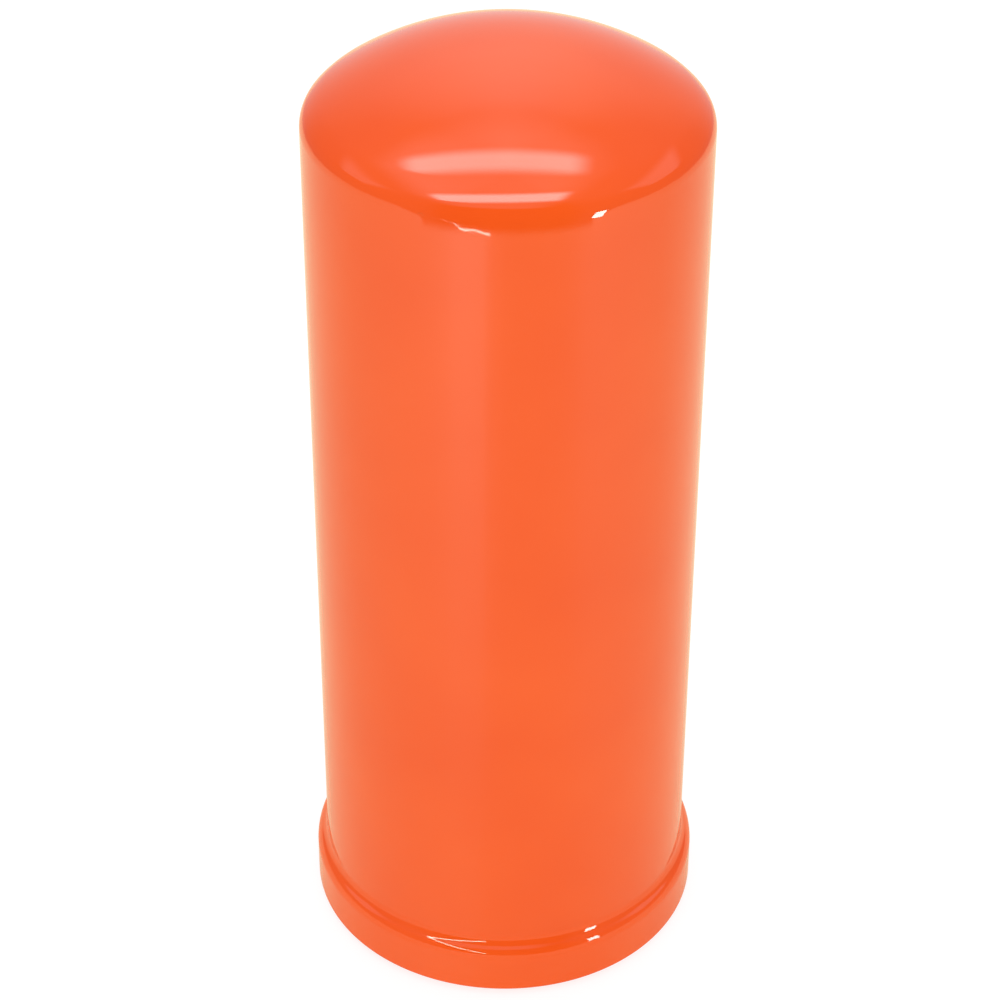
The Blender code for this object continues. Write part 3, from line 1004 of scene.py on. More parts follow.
    def tap(self, low: float, top: float) -> bpy.types.Object:
        """Winds the tap: a 60 degree tooth that climbs one pitch each turn."""
        pitch = 25.4 * MM / self.threads_per_inch
        inner = self.thread_minor - 0.9 * MM
        half = (self.thread_major - inner) * math.tan(math.radians(30))
        crest = pitch * 0.07
        section = Section("thread_tap", inner, -half - crest)
        section.line((self.thread_major, -crest), (self.thread_major, crest), (inner, half + crest))
        section.close()
        bpy.ops.object.mode_set(mode="OBJECT")
        tap = section.obj
        turns = math.ceil((top - low) / pitch) + 3
        apply_modifier(
            tap,
            "SCREW",
            axis="Z",
            angle=math.tau,
            screw_offset=pitch,
            iterations=turns,
            steps=64,
            render_steps=64,
            use_merge_vertices=False,
        )
        tap.data.transform(Matrix.Translation((0.0, 0.0, low - 1.5 * pitch)))
        edit(tap)
        bpy.ops.mesh.remove_doubles(threshold=0.001 * MM)
        bpy.ops.mesh.select_all(action="DESELECT")
        bpy.ops.mesh.select_non_manifold(extend=False, use_wire=False, use_multi_face=False)
        bpy.ops.mesh.edge_face_add()
        close_mesh(0.001 * MM)
        return tap


@dataclass
class DrainValve:
    """The anti-drain diaphragm: a collar that grips the hub, and a thin skirt that covers the ports."""

    bore: float = 15.8 * MM
    skirt: float = 0.9 * MM
    ribs: int = 3

    def build(self) -> None:
        """Turns the whole moulding, collar and skirt in one."""
        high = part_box("drain_valve_collar")[1]
        inner = self.bore
        outer, top = high.x, high.z
        foot = foot_of("drain_valve_lip")
        reach = reach_of("drain_valve_lip")
        root = top_of("drain_valve_lip") + 0.3 * MM
        section = Section("drain_valve_moulding", inner, top)
        section.line(
            (inner, root + 0.1 * MM), (inner + 0.5 * MM, root - 0.3 * MM), (outer, root - self.skirt)
        )
        section.line(
            (reach - 3 * MM, foot + 0.1 * MM), (reach - 1.2 * MM, foot), (reach - 0.2 * MM, foot + 0.1 * MM)
        )
        section.line((reach, foot + 0.5 * MM), (reach - 0.8 * MM, foot + 0.8 * MM))
        section.line((reach - 3 * MM, foot + 0.8 * MM), (outer + 1.2 * MM, root), (outer, root + self.skirt))
        for rib in range(self.ribs):
            step = (top - root - 1.6 * MM) / self.ribs
            z = root + 1.1 * MM + step * rib
            section.line((outer, z), (outer - 0.35 * MM, z + step * 0.3), (outer - 0.35 * MM, z + step * 0.7))
        section.line((outer, top))
        valve = section.close(0.12 * MM, 2).turn(144)
        keep_piece(
            valve,
            RUBBER,
            Body.CANISTER,
            "drain_valve_collar",
            "drain_valve_lip",
            end_body=Body.DRAIN_VALVE,
            span=(root + 0.4 * MM, foot + 0.9 * MM),
            sharp=50,
        )


@dataclass
class Element:
    """The filter element: end caps, glue beds, perforated tube, pleated paper, clip, bands, grommet."""

    cap_sheet: float = 1.0 * MM
    rim_sheet: float = 0.6 * MM
    tube_radius: float = 19.6 * MM
    tube_sheet: float = 0.6 * MM
    tube_columns: int = 24
    tube_rows: int = 34
    pleats: int = 56
    pleat_tip: float = 39.8 * MM
    pleat_root: float = 20.4 * MM
    paper: float = 0.55 * MM
    leaf_steps: int = 12
    lower_hole: float = 17.5 * MM
    upper_hole: float = 14.0 * MM
    cap_ribs: tuple[float, float] = (25 * MM, 34 * MM)
    hub_bore: float = 15.8 * MM
    cap_neck: float = 17.2 * MM
    fold_flatness: float = 0.72
    paper_rows: int = 10
    paper_sway: float = 0.0016

    def build(self) -> None:
        """Builds the element's pieces from the inside out."""
        self.tube()
        self.media()
        self.clip()
        self.beds_and_bands()
        self.end_cap("lower_end_cap_pressing", "lower_end_cap", self.lower_hole, up=True)
        self.end_cap("upper_end_cap_pressing", "upper_end_cap", self.upper_hole, up=False)
        self.grommet()

    def end_cap(self, name: str, node: str, hole: float, up: bool) -> None:
        """Presses one end cap: a flat floor with two stiffening ribs and a turned rim.

        Args:
            name: The piece's name.
            node: The CAD node that it replaces.
            hole: The radius of the hole in its middle.
            up: Whether the rim stands up from the floor or hangs from it.
        """
        low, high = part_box(node)
        reach = high.x
        side = 1 if up else -1
        base = low.z if up else high.z
        rim = (high.z - low.z) * side
        inner = base + self.cap_sheet * side
        rib = 0.45 * MM * side
        section = Section(name, hole, base)
        for middle in self.cap_ribs:
            section.line((middle - 1.6 * MM, base), (middle - 0.8 * MM, base + rib))
            section.line((middle + 0.8 * MM, base + rib), (middle + 1.6 * MM, base))
        section.line((reach - 0.8 * MM, base), (reach, base + 0.8 * MM * side), (reach, base + rim))
        section.line((reach - self.rim_sheet, base + rim), (reach - self.rim_sheet, inner), (hole, inner))
        cap = section.close(0.2 * MM, 3).turn(144)
        keep_piece(cap, TINPLATE, Body.ELEMENT, node, sharp=50)

    def beds_and_bands(self) -> None:
        """Pours the two beds that hold the pleats, and lays the two bands round the pleat tips."""
        bore = self.tube_radius + GAP
        beds = (("lower_plastisol_bed", "lower_glue_bed"), ("upper_plastisol_bed", "upper_glue_bed"))
        for name, node in beds:
            bed = ring(name, bore, reach_of(node), foot_of(node), top_of(node), 0.5 * MM, 128)
            keep_piece(bed, GLUE, Body.ELEMENT, node, sharp=60)
        for name, node in (("lower_tip_band", "lower_pleat_band"), ("upper_tip_band", "upper_pleat_band")):
            inner = self.pleat_tip + GAP
            band = ring(name, inner, reach_of(node), foot_of(node), top_of(node), 0.35 * MM, 128)
            keep_piece(band, GLUE, Body.ELEMENT, node, sharp=60)

    def grommet(self) -> None:
        """Turns the grommet that grips the lower cap and wipes the hub with two inner lips."""
        low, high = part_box("hub_grommet")
        bore, neck, rim = self.hub_bore, self.cap_neck, high.x
        slot_low = foot_of("lower_end_cap") - GAP
        slot_high = slot_low + self.cap_sheet + 2 * GAP
        section = Section("hub_grommet_moulding", bore, low.z)
        section.line((rim - 0.3 * MM, low.z), (rim, low.z + 0.5 * MM), (rim, slot_low), (neck, slot_low))
        section.line(
            (neck, slot_high), (rim, slot_high), (rim, high.z - 0.5 * MM), (rim - 0.6 * MM, high.z)
        )
        section.line((bore + 0.5 * MM, high.z), (bore, high.z - 0.8 * MM))
        tall = high.z - low.z
        section.line((bore + 0.4 * MM, low.z + tall * 0.6), (bore, low.z + tall * 0.45))
        section.line((bore + 0.4 * MM, low.z + tall * 0.2))
        grommet = section.close(0.1 * MM, 2).turn(128)
        keep_piece(grommet, RUBBER, Body.ELEMENT, "hub_grommet", sharp=50)

    def tube(self) -> None:
        """Rolls the perforated tube: a ring drawn up row by row, with a hole in every other cell."""
        low, high = foot_of("centre_tube"), top_of("centre_tube")
        clear_selection()
        bpy.ops.mesh.primitive_circle_add(
            vertices=self.tube_columns * 2, radius=self.tube_radius - self.tube_sheet / 2, location=(0, 0, 0)
        )
        tube = bpy.context.object
        tube.name = "perforated_centre_tube"
        edit(tube)
        bpy.ops.transform.translate(value=(0.0, 0.0, low))
        row = (high - low) / self.tube_rows
        for _ in range(self.tube_rows):
            bpy.ops.mesh.extrude_edges_move(TRANSFORM_OT_translate={"value": (0.0, 0.0, row)})
        bpy.ops.object.mode_set(mode="OBJECT")
        cell = math.tau / (self.tube_columns * 2)

        def perforated(middle: Vector, _normal: Vector) -> bool:
            """Whether a cell of the sheet carries a hole."""
            column = int(math.floor((math.atan2(middle.y, middle.x) % math.tau) / cell))
            level = int((middle.z - low) / row)
            return 0 < level < self.tube_rows - 1 and level % 2 == 1 and (column + level // 2) % 2 == 0

        pick_faces(tube, perforated)
        bpy.ops.mesh.inset(thickness=0.5 * MM, use_individual=True)
        bpy.ops.mesh.delete(type="FACE")
        bpy.ops.mesh.select_all(action="SELECT")
        bpy.ops.mesh.normals_make_consistent(inside=False)
        bpy.ops.object.mode_set(mode="OBJECT")
        apply_modifier(tube, "SOLIDIFY", thickness=self.tube_sheet, offset=0.0)
        apply_modifier(tube, "SUBSURF", levels=1, render_levels=1)
        keep_piece(tube, TINPLATE, Body.ELEMENT, "centre_tube", sharp=50)

    def media(self) -> None:
        """Folds the paper: a ring of points pushed in and out by turns, drawn up and thickened."""
        low, high = foot_of("pleated_media"), top_of("pleated_media")
        middle = (self.pleat_tip + self.pleat_root) / 2
        reach = (self.pleat_tip - self.pleat_root - self.paper) / 2
        count = self.pleats * self.leaf_steps
        clear_selection()
        bpy.ops.mesh.primitive_circle_add(vertices=count, radius=middle, location=(0, 0, 0))
        media = bpy.context.object
        media.name = "pleated_paper_media"
        step = math.tau / count
        for phase in range(self.leaf_steps // 2 + 1):
            fold = math.cos(math.tau * phase / self.leaf_steps)
            fold = math.copysign(abs(fold) ** self.fold_flatness, fold)
            scale = (middle + reach * fold) / middle

            def on_fold(place: Vector, phase: int = phase) -> bool:
                """Whether a point lies at this place of its pleat."""
                index = round((math.atan2(place.y, place.x) % math.tau) / step) % self.leaf_steps
                return index in (phase, self.leaf_steps - phase)

            pick_points(media, on_fold)
            bpy.ops.transform.resize(value=(scale, scale, 1.0), center_override=ORIGIN)
            bpy.ops.object.mode_set(mode="OBJECT")
        edit(media)
        bpy.ops.transform.translate(value=(0.0, 0.0, low))
        rise = (high - low) / self.paper_rows
        for row in range(self.paper_rows):
            sway = 1.0 + (self.paper_sway if row % 2 else -self.paper_sway)
            bpy.ops.mesh.extrude_edges_move(TRANSFORM_OT_translate={"value": (0.0, 0.0, rise)})
            bpy.ops.transform.resize(value=(sway, sway, 1.0), center_override=ORIGIN)
        bpy.ops.mesh.select_all(action="SELECT")
        bpy.ops.mesh.normals_make_consistent(inside=False)
        bpy.ops.object.mode_set(mode="OBJECT")
        apply_modifier(media, "SOLIDIFY", thickness=self.paper, offset=0.0, use_even_offset=False)
        keep_piece(media, PAPER, Body.ELEMENT, "pleated_media", sharp=60)

    def clip(self) -> None:
        """Folds the clip that joins the paper's two end leaves: a narrow U along the pleat."""
        low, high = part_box("media_seam_clip")
        clear_selection()
        bpy.ops.mesh.primitive_cube_add(size=1.0)
        clip = bpy.context.object
        clip.name = "paper_joining_clip"
        length = 8.4 * MM
        width = 1.0 * MM
        outer = self.pleat_tip - 0.2 * MM
        edit(clip)
        bpy.ops.transform.resize(value=(length, width, high.z - low.z))
        bpy.ops.transform.translate(value=(outer - length / 2, 0.0, (low.z + high.z) / 2))
        bpy.ops.object.mode_set(mode="OBJECT")
        pick_faces(clip, lambda _middle, normal: normal.x < -0.9)
        bpy.ops.mesh.inset(thickness=0.28 * MM)
        bpy.ops.mesh.extrude_region_move(TRANSFORM_OT_translate={"value": (length * 0.8, 0.0, 0.0)})
        edit(clip)
        close_mesh()
        apply_modifier(clip, "BEVEL", width=0.12 * MM, segments=2, limit_method="ANGLE")
        clip.data.transform(Matrix.Rotation(math.pi / 40, 4, "Z"))
        keep_piece(clip, TINPLATE, Body.ELEMENT, "media_seam_clip")


@dataclass
class Bypass:
    """The bypass valve in the upper cap: seat, cage, sprung plate, seal, stem clip and spring."""

    port: float = 9.0 * MM
    neck: float = 13.7 * MM
    neck_wall: float = 1.1 * MM
    cage_sheet: float = 1.0 * MM
    stem: float = 2.0 * MM
    wire: float = 0.6 * MM
    coil_radius: float = 6.8 * MM
    coils: float = 7.0

    def build(self) -> None:
        """Builds the valve from its seat down."""
        self.seat()
        self.cage()
        self.plate()
        self.stem_clip()
        low = foot_of("bypass_spring")
        high = top_of("bypass_spring")
        spring = coil_spring("bypass_valve_spring", self.coil_radius, self.wire, low, high, self.coils)
        keep_piece(
            spring,
            SPRING_WIRE,
            Body.ELEMENT,
            "bypass_spring",
            end_body=Body.BYPASS_VALVE,
            span=(low + 2 * self.wire, high - 2 * self.wire),
            sharp=60,
        )

    def seat(self) -> None:
        """Turns the seat: a flat flange, a raised sealing land and the neck that goes through the cap."""
        low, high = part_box("bypass_seat")
        face = high.z - 1.2 * MM
        inner = self.neck - self.neck_wall
        section = Section("bypass_valve_seat", self.port, face)
        section.line((inner, face), (inner, low.z), (self.neck, low.z), (self.neck, face))
        section.line((high.x, face), (high.x, high.z - 0.3 * MM), (high.x - 0.3 * MM, high.z))
        section.line((self.port + 0.6 * MM, high.z), (self.port, high.z - 0.6 * MM))
        seat = section.close(0.12 * MM, 2).turn(96)
        keep_piece(seat, PLATED_STEEL, Body.ELEMENT, "bypass_seat", sharp=40)

    def cage(self) -> None:
        """Draws the cage as a cup and cuts it away to four legs."""
        low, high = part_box("bypass_cage")
        inner = self.neck + GAP
        outer = inner + self.cage_sheet
        hole = self.stem + 0.6 * MM
        sheet = self.cage_sheet
        section = Section("bypass_valve_cage", hole, low.z)
        section.line((outer, low.z), (outer, high.z - sheet), (high.x, high.z - sheet), (high.x, high.z))
        section.line((inner, high.z), (inner, low.z + sheet), (hole, low.z + sheet))
        cage = section.close(0.3 * MM, 3).turn(96)
        window = high.z - low.z - 5 * MM
        for side in range(2):
            clear_selection()
            bpy.ops.mesh.primitive_cube_add(size=1.0)
            cutter = bpy.context.object
            edit(cutter)
            bpy.ops.transform.resize(value=(3 * outer, inner * 1.1, window))
            bpy.ops.transform.translate(value=(0.0, 0.0, low.z + 2.5 * MM + window / 2))
            bpy.ops.object.mode_set(mode="OBJECT")
            apply_modifier(cutter, "BEVEL", width=1.5 * MM, segments=4)
            cutter.data.transform(Matrix.Rotation(side * math.pi / 2, 4, "Z"))
            take_out(cage, cutter)
        keep_piece(cage, PLATED_STEEL, Body.ELEMENT, "bypass_cage", sharp=30)

    def plate(self) -> None:
        """Turns the valve's plate with its stem and rib, and the rubber washer on top of it."""
        low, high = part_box("bypass_valve_plate")
        seal_low, seal_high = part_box("bypass_seal")
        reach = high.x
        disc_top = seal_low.z - GAP
        disc = disc_top - 1.0 * MM
        boss = 6.7 * MM
        section = Section("bypass_valve_disc", 0.0, high.z)
        section.line((boss - 0.8 * MM, high.z), (boss, high.z - 0.4 * MM), (boss, disc_top))
        section.line((reach - 0.3 * MM, disc_top), (reach, disc_top - 0.3 * MM), (reach, disc))
        section.line((9.2 * MM, disc), (8.8 * MM, disc - 0.2 * MM), (8.3 * MM, disc))
        section.line((5.4 * MM, disc), (5.0 * MM, disc - 1.2 * MM), (self.stem + 0.6 * MM, disc - 1.5 * MM))
        section.line((self.stem, disc - 2.2 * MM), (self.stem, low.z + 2.2 * MM))
        section.line((self.stem - 0.35 * MM, low.z + 2.2 * MM), (self.stem - 0.35 * MM, low.z + 1.1 * MM))
        section.line((self.stem, low.z + 1.1 * MM), (self.stem, low.z + 0.4 * MM))
        section.line((self.stem - 0.4 * MM, low.z), (0.0, low.z))
        plate = section.turn(96)
        keep_piece(plate, PLATED_STEEL, Body.BYPASS_VALVE, "bypass_valve_plate", sharp=30)
        seal = ring("bypass_seal_washer", 7.0 * MM, seal_high.x, seal_low.z, seal_high.z, 0.2 * MM, 96)
        keep_piece(seal, RUBBER, Body.BYPASS_VALVE, "bypass_seal", sharp=50)

    def stem_clip(self) -> None:
        """Stamps the clip on the stem: a flat ring with its mouth cut open."""
        low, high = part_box("bypass_stem_clip")
        bore = self.stem + GAP
        clip = ring("stem_retaining_clip", bore, high.x, low.z, high.z, 0.1 * MM, 64)
        clear_selection()
        bpy.ops.mesh.primitive_cube_add(size=1.0)
        mouth = bpy.context.object
        edit(mouth)
        bpy.ops.transform.resize(value=(high.x * 2, bore * 1.3, 4 * MM))
        bpy.ops.transform.translate(value=(high.x, 0.0, (low.z + high.z) / 2))
        bpy.ops.object.mode_set(mode="OBJECT")
        take_out(clip, mouth)
        keep_piece(clip, SPRING_WIRE, Body.BYPASS_VALVE, "bypass_stem_clip")


@dataclass
class HoldDown:
    """The cup on the element and the coil spring that presses it down from the dome."""

    wire: float = 1.3 * MM
    mean_radius: float = 21.5 * MM
    coils: float = 5.0
    sheet: float = 0.8 * MM
    cup_bore: float = 17.9 * MM

    def build(self) -> None:
        """Builds the cup and the spring."""
        low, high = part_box("spring_cup")
        inner = self.cup_bore
        section = Section("spring_cup_pressing", inner, low.z)
        section.line((high.x, low.z), (high.x, high.z), (high.x - self.sheet, high.z))
        section.line((high.x - self.sheet, low.z + 1.0 * MM), (inner, low.z + 1.0 * MM))
        cup = section.close(0.25 * MM, 3).turn(128)
        keep_piece(cup, TINPLATE, Body.ELEMENT, "spring_cup", sharp=50)
        foot, top = foot_of("element_spring"), top_of("element_spring")
        spring = coil_spring("element_hold_down_spring", self.mean_radius, self.wire, foot, top, self.coils)
        keep_piece(
            spring,
            SPRING_WIRE,
            Body.CANISTER,
            "element_spring",
            end_body=Body.ELEMENT,
            span=(top - 2 * self.wire, foot + 2 * self.wire),
            sharp=60,
        )


# ---------------------------------------------------------------------------------------------
# Studio
# ---------------------------------------------------------------------------------------------


@dataclass(frozen=True)
class SkyPanel:
    """A sheet of light overhead, placed by how far it leans across and back per unit of height."""

    across: float
    back: float
    half_across: float
    half_back: float
    edge_across: float
    edge_back: float
    light: float
    slant: float = 0.0
    bow: float = 0.0


@dataclass(frozen=True)
class StripLamp:
    """A small lamp near the filter, given by the two ends of its long side."""

    name: str
    start: tuple[float, float, float]
    end: tuple[float, float, float]
    width: float
    light: float
    colour: tuple[float, float, float]


@dataclass
class Studio:
    """A light tent: white floor, bright back, two ceiling strips, dim sides and a dark front."""

    floor_glow: float = 0.80
    table_reach: float = 6.0
    card_reach: float = 1.7
    card_colour: tuple[float, float, float, float] = (0.88, 0.80, 0.55, 1.0)
    card_edge: tuple[float, float] = (438 * MM, 1500 * MM)
    card_fade: tuple[float, float] = (8 * MM, 600 * MM)
    card_turn: tuple[float, float] = (-0.72, -0.42)
    # Painted light: the card's glow by bearing is painted pools of light on the table, which the enamel
    # mirrors as faint streaks.
    card_painted_glow: tuple[Point, ...] = (
        (-90.0, 0.00),
        (-65.0, 0.16),
        (-45.0, 0.36),
        (-32.0, 0.66),
        (-21.0, 0.95),
        (-15.0, 0.90),
        (-10.0, 0.48),
        (-4.0, 0.14),
        (3.0, 0.00),
        (22.0, 0.00),
        (35.0, 0.14),
        (48.0, 0.36),
        (58.0, 0.30),
        (90.0, 0.00),
    )
    card_painted_glow_reach: tuple[float, float] = (115 * MM, 440 * MM)
    backdrop: float = 1.0
    soft_front: float = 1.50
    soft_side: float = 0.80
    panels: tuple[SkyPanel, ...] = (
        SkyPanel(-0.18, -0.50, 0.62, 0.80, 0.55, 0.30, 0.80),
        SkyPanel(-0.10, -0.12, 0.60, 0.36, 0.45, 0.40, 0.25),
        SkyPanel(-0.09, 0.035, 0.50, 0.068, 0.18, 0.085, 4.9, bow=0.32),
        SkyPanel(-0.10, -0.532, 0.56, 0.115, 0.16, 0.11, 6.8, slant=0.08),
        SkyPanel(2.25, 0.18, 0.95, 0.60, 0.40, 0.38, 0.85),
        SkyPanel(-2.35, 0.05, 0.90, 0.50, 0.55, 0.38, 0.75),
    )
    walls: tuple[tuple[float, float], ...] = (
        (180.0, 0.00),
        (150.0, 0.02),
        (135.0, 0.27),
        (90.0, 0.36),
        (60.0, 0.42),
        (50.0, 0.44),
        (41.0, 0.60),
        (33.0, 0.82),
        (22.0, 1.05),
        (0.0, 1.32),
    )
    heights: tuple[tuple[float, float], ...] = (
        (0.00, 0.62),
        (0.35, 0.66),
        (0.62, 0.95),
        (0.82, 1.10),
        (0.90, 0.90),
        (0.96, 0.55),
        (1.00, 0.25),
    )
    ribbon_path: tuple[tuple[float, float, float], ...] = (
        (-133 * MM, -145 * MM, 162 * MM),
        (-124 * MM, -162 * MM, 147 * MM),
        (-115 * MM, -179 * MM, 133.5 * MM),
        (-106 * MM, -199 * MM, 121 * MM),
        (-96 * MM, -224 * MM, 108 * MM),
        (-77 * MM, -270 * MM, 87.5 * MM),
        (-51 * MM, -332 * MM, 55 * MM),
    )
    ribbon_eye: tuple[float, float, float] = (-10 * MM, -45 * MM, 227 * MM)
    ribbon_growth: float = 1.07
    ribbon_light: float = 24.0
    lamps: tuple[StripLamp, ...] = (
        StripLamp(
            "right_window",
            (287 * MM, -267 * MM, 28 * MM),
            (287 * MM, -267 * MM, 138 * MM),
            42 * MM,
            20.0,
            (1.0, 1.0, 1.0),
        ),
    )

    def build(self) -> None:
        """Lays the floor, lights the tent and sets up the camera."""
        self.floor()
        self.sky()
        self.glowing_ribbon()
        for lamp in self.lamps:
            self.hang(lamp)
        Camera().build()

    def floor(self) -> None:
        """Lays the glowing table, and over it a warm sheet that only the gloss mirrors."""
        glow = bpy.data.materials.new("glowing_white_table")
        glow.use_nodes = True
        shader = glow.node_tree.nodes["Principled BSDF"]
        shader.inputs["Base Color"].default_value = (0.25, 0.25, 0.25, 1.0)
        shader.inputs["Roughness"].default_value = 0.9
        shader.inputs["Specular IOR Level"].default_value = 0.0
        shader.inputs["Emission Color"].default_value = (1.0, 1.0, 1.0, 1.0)
        shader.inputs["Emission Strength"].default_value = self.floor_glow
        table = self.panel_of_floor("glowing_table", self.table_reach, glow)
        table.visible_glossy = False
        table.location.z = -0.2 * MM
        card = self.panel_of_floor("mirrored_card", self.card_reach, self.card_paper())
        card.location.z = -0.1 * MM
        self.only_in_gloss(card)

    def card_paper(self) -> bpy.types.Material:
        """Makes the warm card, cut close in front and fading out far off at the sides and behind.

        Returns:
            The material.
        """
        warm = bpy.data.materials.new("warm_white_card")
        warm.use_nodes = True
        tree = warm.node_tree
        shader = tree.nodes["Principled BSDF"]
        shader.inputs["Base Color"].default_value = self.card_colour
        shader.inputs["Roughness"].default_value = 0.9
        shader.inputs["Specular IOR Level"].default_value = 0.0
        place = add_node(tree, "TexCoord").outputs["Object"]
        flat = add_node(tree, "VectorMath", {0: place, 1: (1.0, 1.0, 0.0)}, operation="MULTIPLY")
        reach = add_node(tree, "VectorMath", {0: flat.outputs[0]}, operation="LENGTH").outputs["Value"]
        parts = add_node(tree, "SeparateXYZ", {0: place})
        lean = add_node(tree, "Math", {0: parts.outputs["Y"], 1: reach}, operation="DIVIDE").outputs[0]
        cut, fade = (
            add_node(
                tree,
                "MapRange",
                {"Value": lean, 1: self.card_turn[0], 2: self.card_turn[1], 3: near, 4: far},
                interpolation_type="SMOOTHSTEP",
            ).outputs[0]
            for near, far in (self.card_edge, self.card_fade)
        )
        inside = add_node(tree, "Math", {0: cut, 1: reach}, operation="SUBTRACT").outputs[0]
        share = add_node(tree, "Math", {0: inside, 1: fade}, operation="DIVIDE", use_clamp=True).outputs[0]
        soft = add_node(tree, "MapRange", {"Value": share}, interpolation_type="SMOOTHSTEP")
        tree.links.new(soft.outputs[0], shader.inputs["Alpha"])
        ahead = add_node(tree, "Math", {0: parts.outputs["Y"], 1: -1.0}, operation="MULTIPLY")
        bearing = add_node(tree, "Math", {0: parts.outputs["X"], 1: ahead.outputs[0]}, operation="ARCTAN2")
        turn = add_node(tree, "MapRange", {"Value": bearing.outputs[0], 1: -math.pi / 2, 2: math.pi / 2})
        # The card glows with painted light by bearing, dimmer towards the filter: painted pools of light on
        # the table.
        stops = [(0.5 + angle / 180, light) for angle, light in self.card_painted_glow]
        painted_glow = self.grey_ramp(tree, turn.outputs[0], stops)
        far = add_node(
            tree,
            "MapRange",
            {"Value": reach, 1: self.card_painted_glow_reach[0], 2: self.card_painted_glow_reach[1], 3: 0.12, 4: 1.0},
        )
        lit = add_node(tree, "Math", {0: painted_glow, 1: far.outputs[0]}, operation="MULTIPLY")
        shader.inputs["Emission Color"].default_value = (1.0, 1.0, 1.0, 1.0)
        tree.links.new(lit.outputs[0], shader.inputs["Emission Strength"])
        return warm

    def panel_of_floor(self, name: str, reach: float, paint: bpy.types.Material) -> bpy.types.Object:
        """Adds one square sheet of floor.

        Args:
            name: The sheet's name.
            reach: How far it goes each way.
            paint: Its material.

        Returns:
            The sheet.
        """
        clear_selection()
        bpy.ops.mesh.primitive_plane_add(size=2 * reach)
        sheet = bpy.context.object
        sheet.name = name
        sheet.data.materials.append(paint)
        return sheet

    def only_in_gloss(self, obj: bpy.types.Object) -> None:
        """Hides a stage piece from all but the gloss that mirrors it."""
        obj.visible_camera = False
        obj.visible_diffuse = False
        obj.visible_shadow = False

    def glowing_ribbon(self) -> None:
        """Lays the lit ribbon that the enamel mirrors left of its middle, as a thin line on the wall."""
        first = Vector(self.ribbon_path[0])
        clear_selection()
        bpy.ops.mesh.primitive_plane_add(size=MM)
        ribbon = bpy.context.object
        ribbon.name = "glowing_ribbon"
        edit(ribbon)
        bpy.ops.mesh.merge(type="CENTER")
        bpy.ops.transform.translate(value=first)
        for place in self.ribbon_path[1:]:
            step = Vector(place) - first
            bpy.ops.mesh.extrude_region_move(TRANSFORM_OT_translate={"value": step})
            first = Vector(place)
        bpy.ops.mesh.select_all(action="SELECT")
        bpy.ops.mesh.extrude_edges_move(TRANSFORM_OT_translate={"value": (0.0, 0.0, 0.0)})
        bpy.ops.transform.resize(value=(self.ribbon_growth,) * 3, center_override=self.ribbon_eye)
        bpy.ops.object.mode_set(mode="OBJECT")
        light = bpy.data.materials.new("glowing_ribbon")
        light.use_nodes = True
        shader = light.node_tree.nodes["Principled BSDF"]
        shader.inputs["Base Color"].default_value = (0.0, 0.0, 0.0, 1.0)
        shader.inputs["Emission Color"].default_value = (1.0, 0.93, 0.80, 1.0)
        shader.inputs["Emission Strength"].default_value = self.ribbon_light
        ribbon.data.materials.append(light)
        self.only_in_gloss(ribbon)

    def sky(self) -> None:
        """Paints the tent as light by direction: one for gloss, an even one for all other light."""
        world = bpy.data.worlds.new("light_tent")
        bpy.context.scene.world = world
        world.use_nodes = True
        tree = world.node_tree
        tree.nodes.clear()
        way = add_node(tree, "TexCoord").outputs["Generated"]
        parts = add_node(tree, "SeparateXYZ", {0: way})
        up = add_node(tree, "Math", {0: parts.outputs["Z"], 1: 0.04}, operation="MAXIMUM").outputs[0]
        across = add_node(tree, "Math", {0: parts.outputs["X"], 1: up}, operation="DIVIDE").outputs[0]
        back = add_node(tree, "Math", {0: parts.outputs["Y"], 1: up}, operation="DIVIDE").outputs[0]
        total = self.tent_walls(tree, way, parts.outputs["Z"])
        for panel in self.panels:
            total = self.add_panel(tree, panel, across, back, total)
        aside = add_node(tree, "Math", {0: parts.outputs["X"]}, operation="ABSOLUTE")
        even = add_node(
            tree,
            "MapRange",
            {"Value": aside.outputs[0], 3: self.soft_front, 4: self.soft_side},
        )
        tent = add_node(tree, "Background", {"Color": total, "Strength": 1.0})
        soft = add_node(tree, "Background", {"Color": even.outputs[0], "Strength": 1.0})
        plain = add_node(tree, "Background", {"Color": (1.0, 1.0, 1.0, 1.0), "Strength": self.backdrop})
        path = add_node(tree, "LightPath")
        shine = path.outputs["Is Glossy Ray"]
        lit = add_node(tree, "MixShader", {0: shine, 1: soft.outputs[0], 2: tent.outputs[0]})
        eye = path.outputs["Is Camera Ray"]
        mixed = add_node(tree, "MixShader", {0: eye, 1: lit.outputs[0], 2: plain.outputs[0]})
        add_node(tree, "OutputWorld", {"Surface": mixed.outputs[0]})

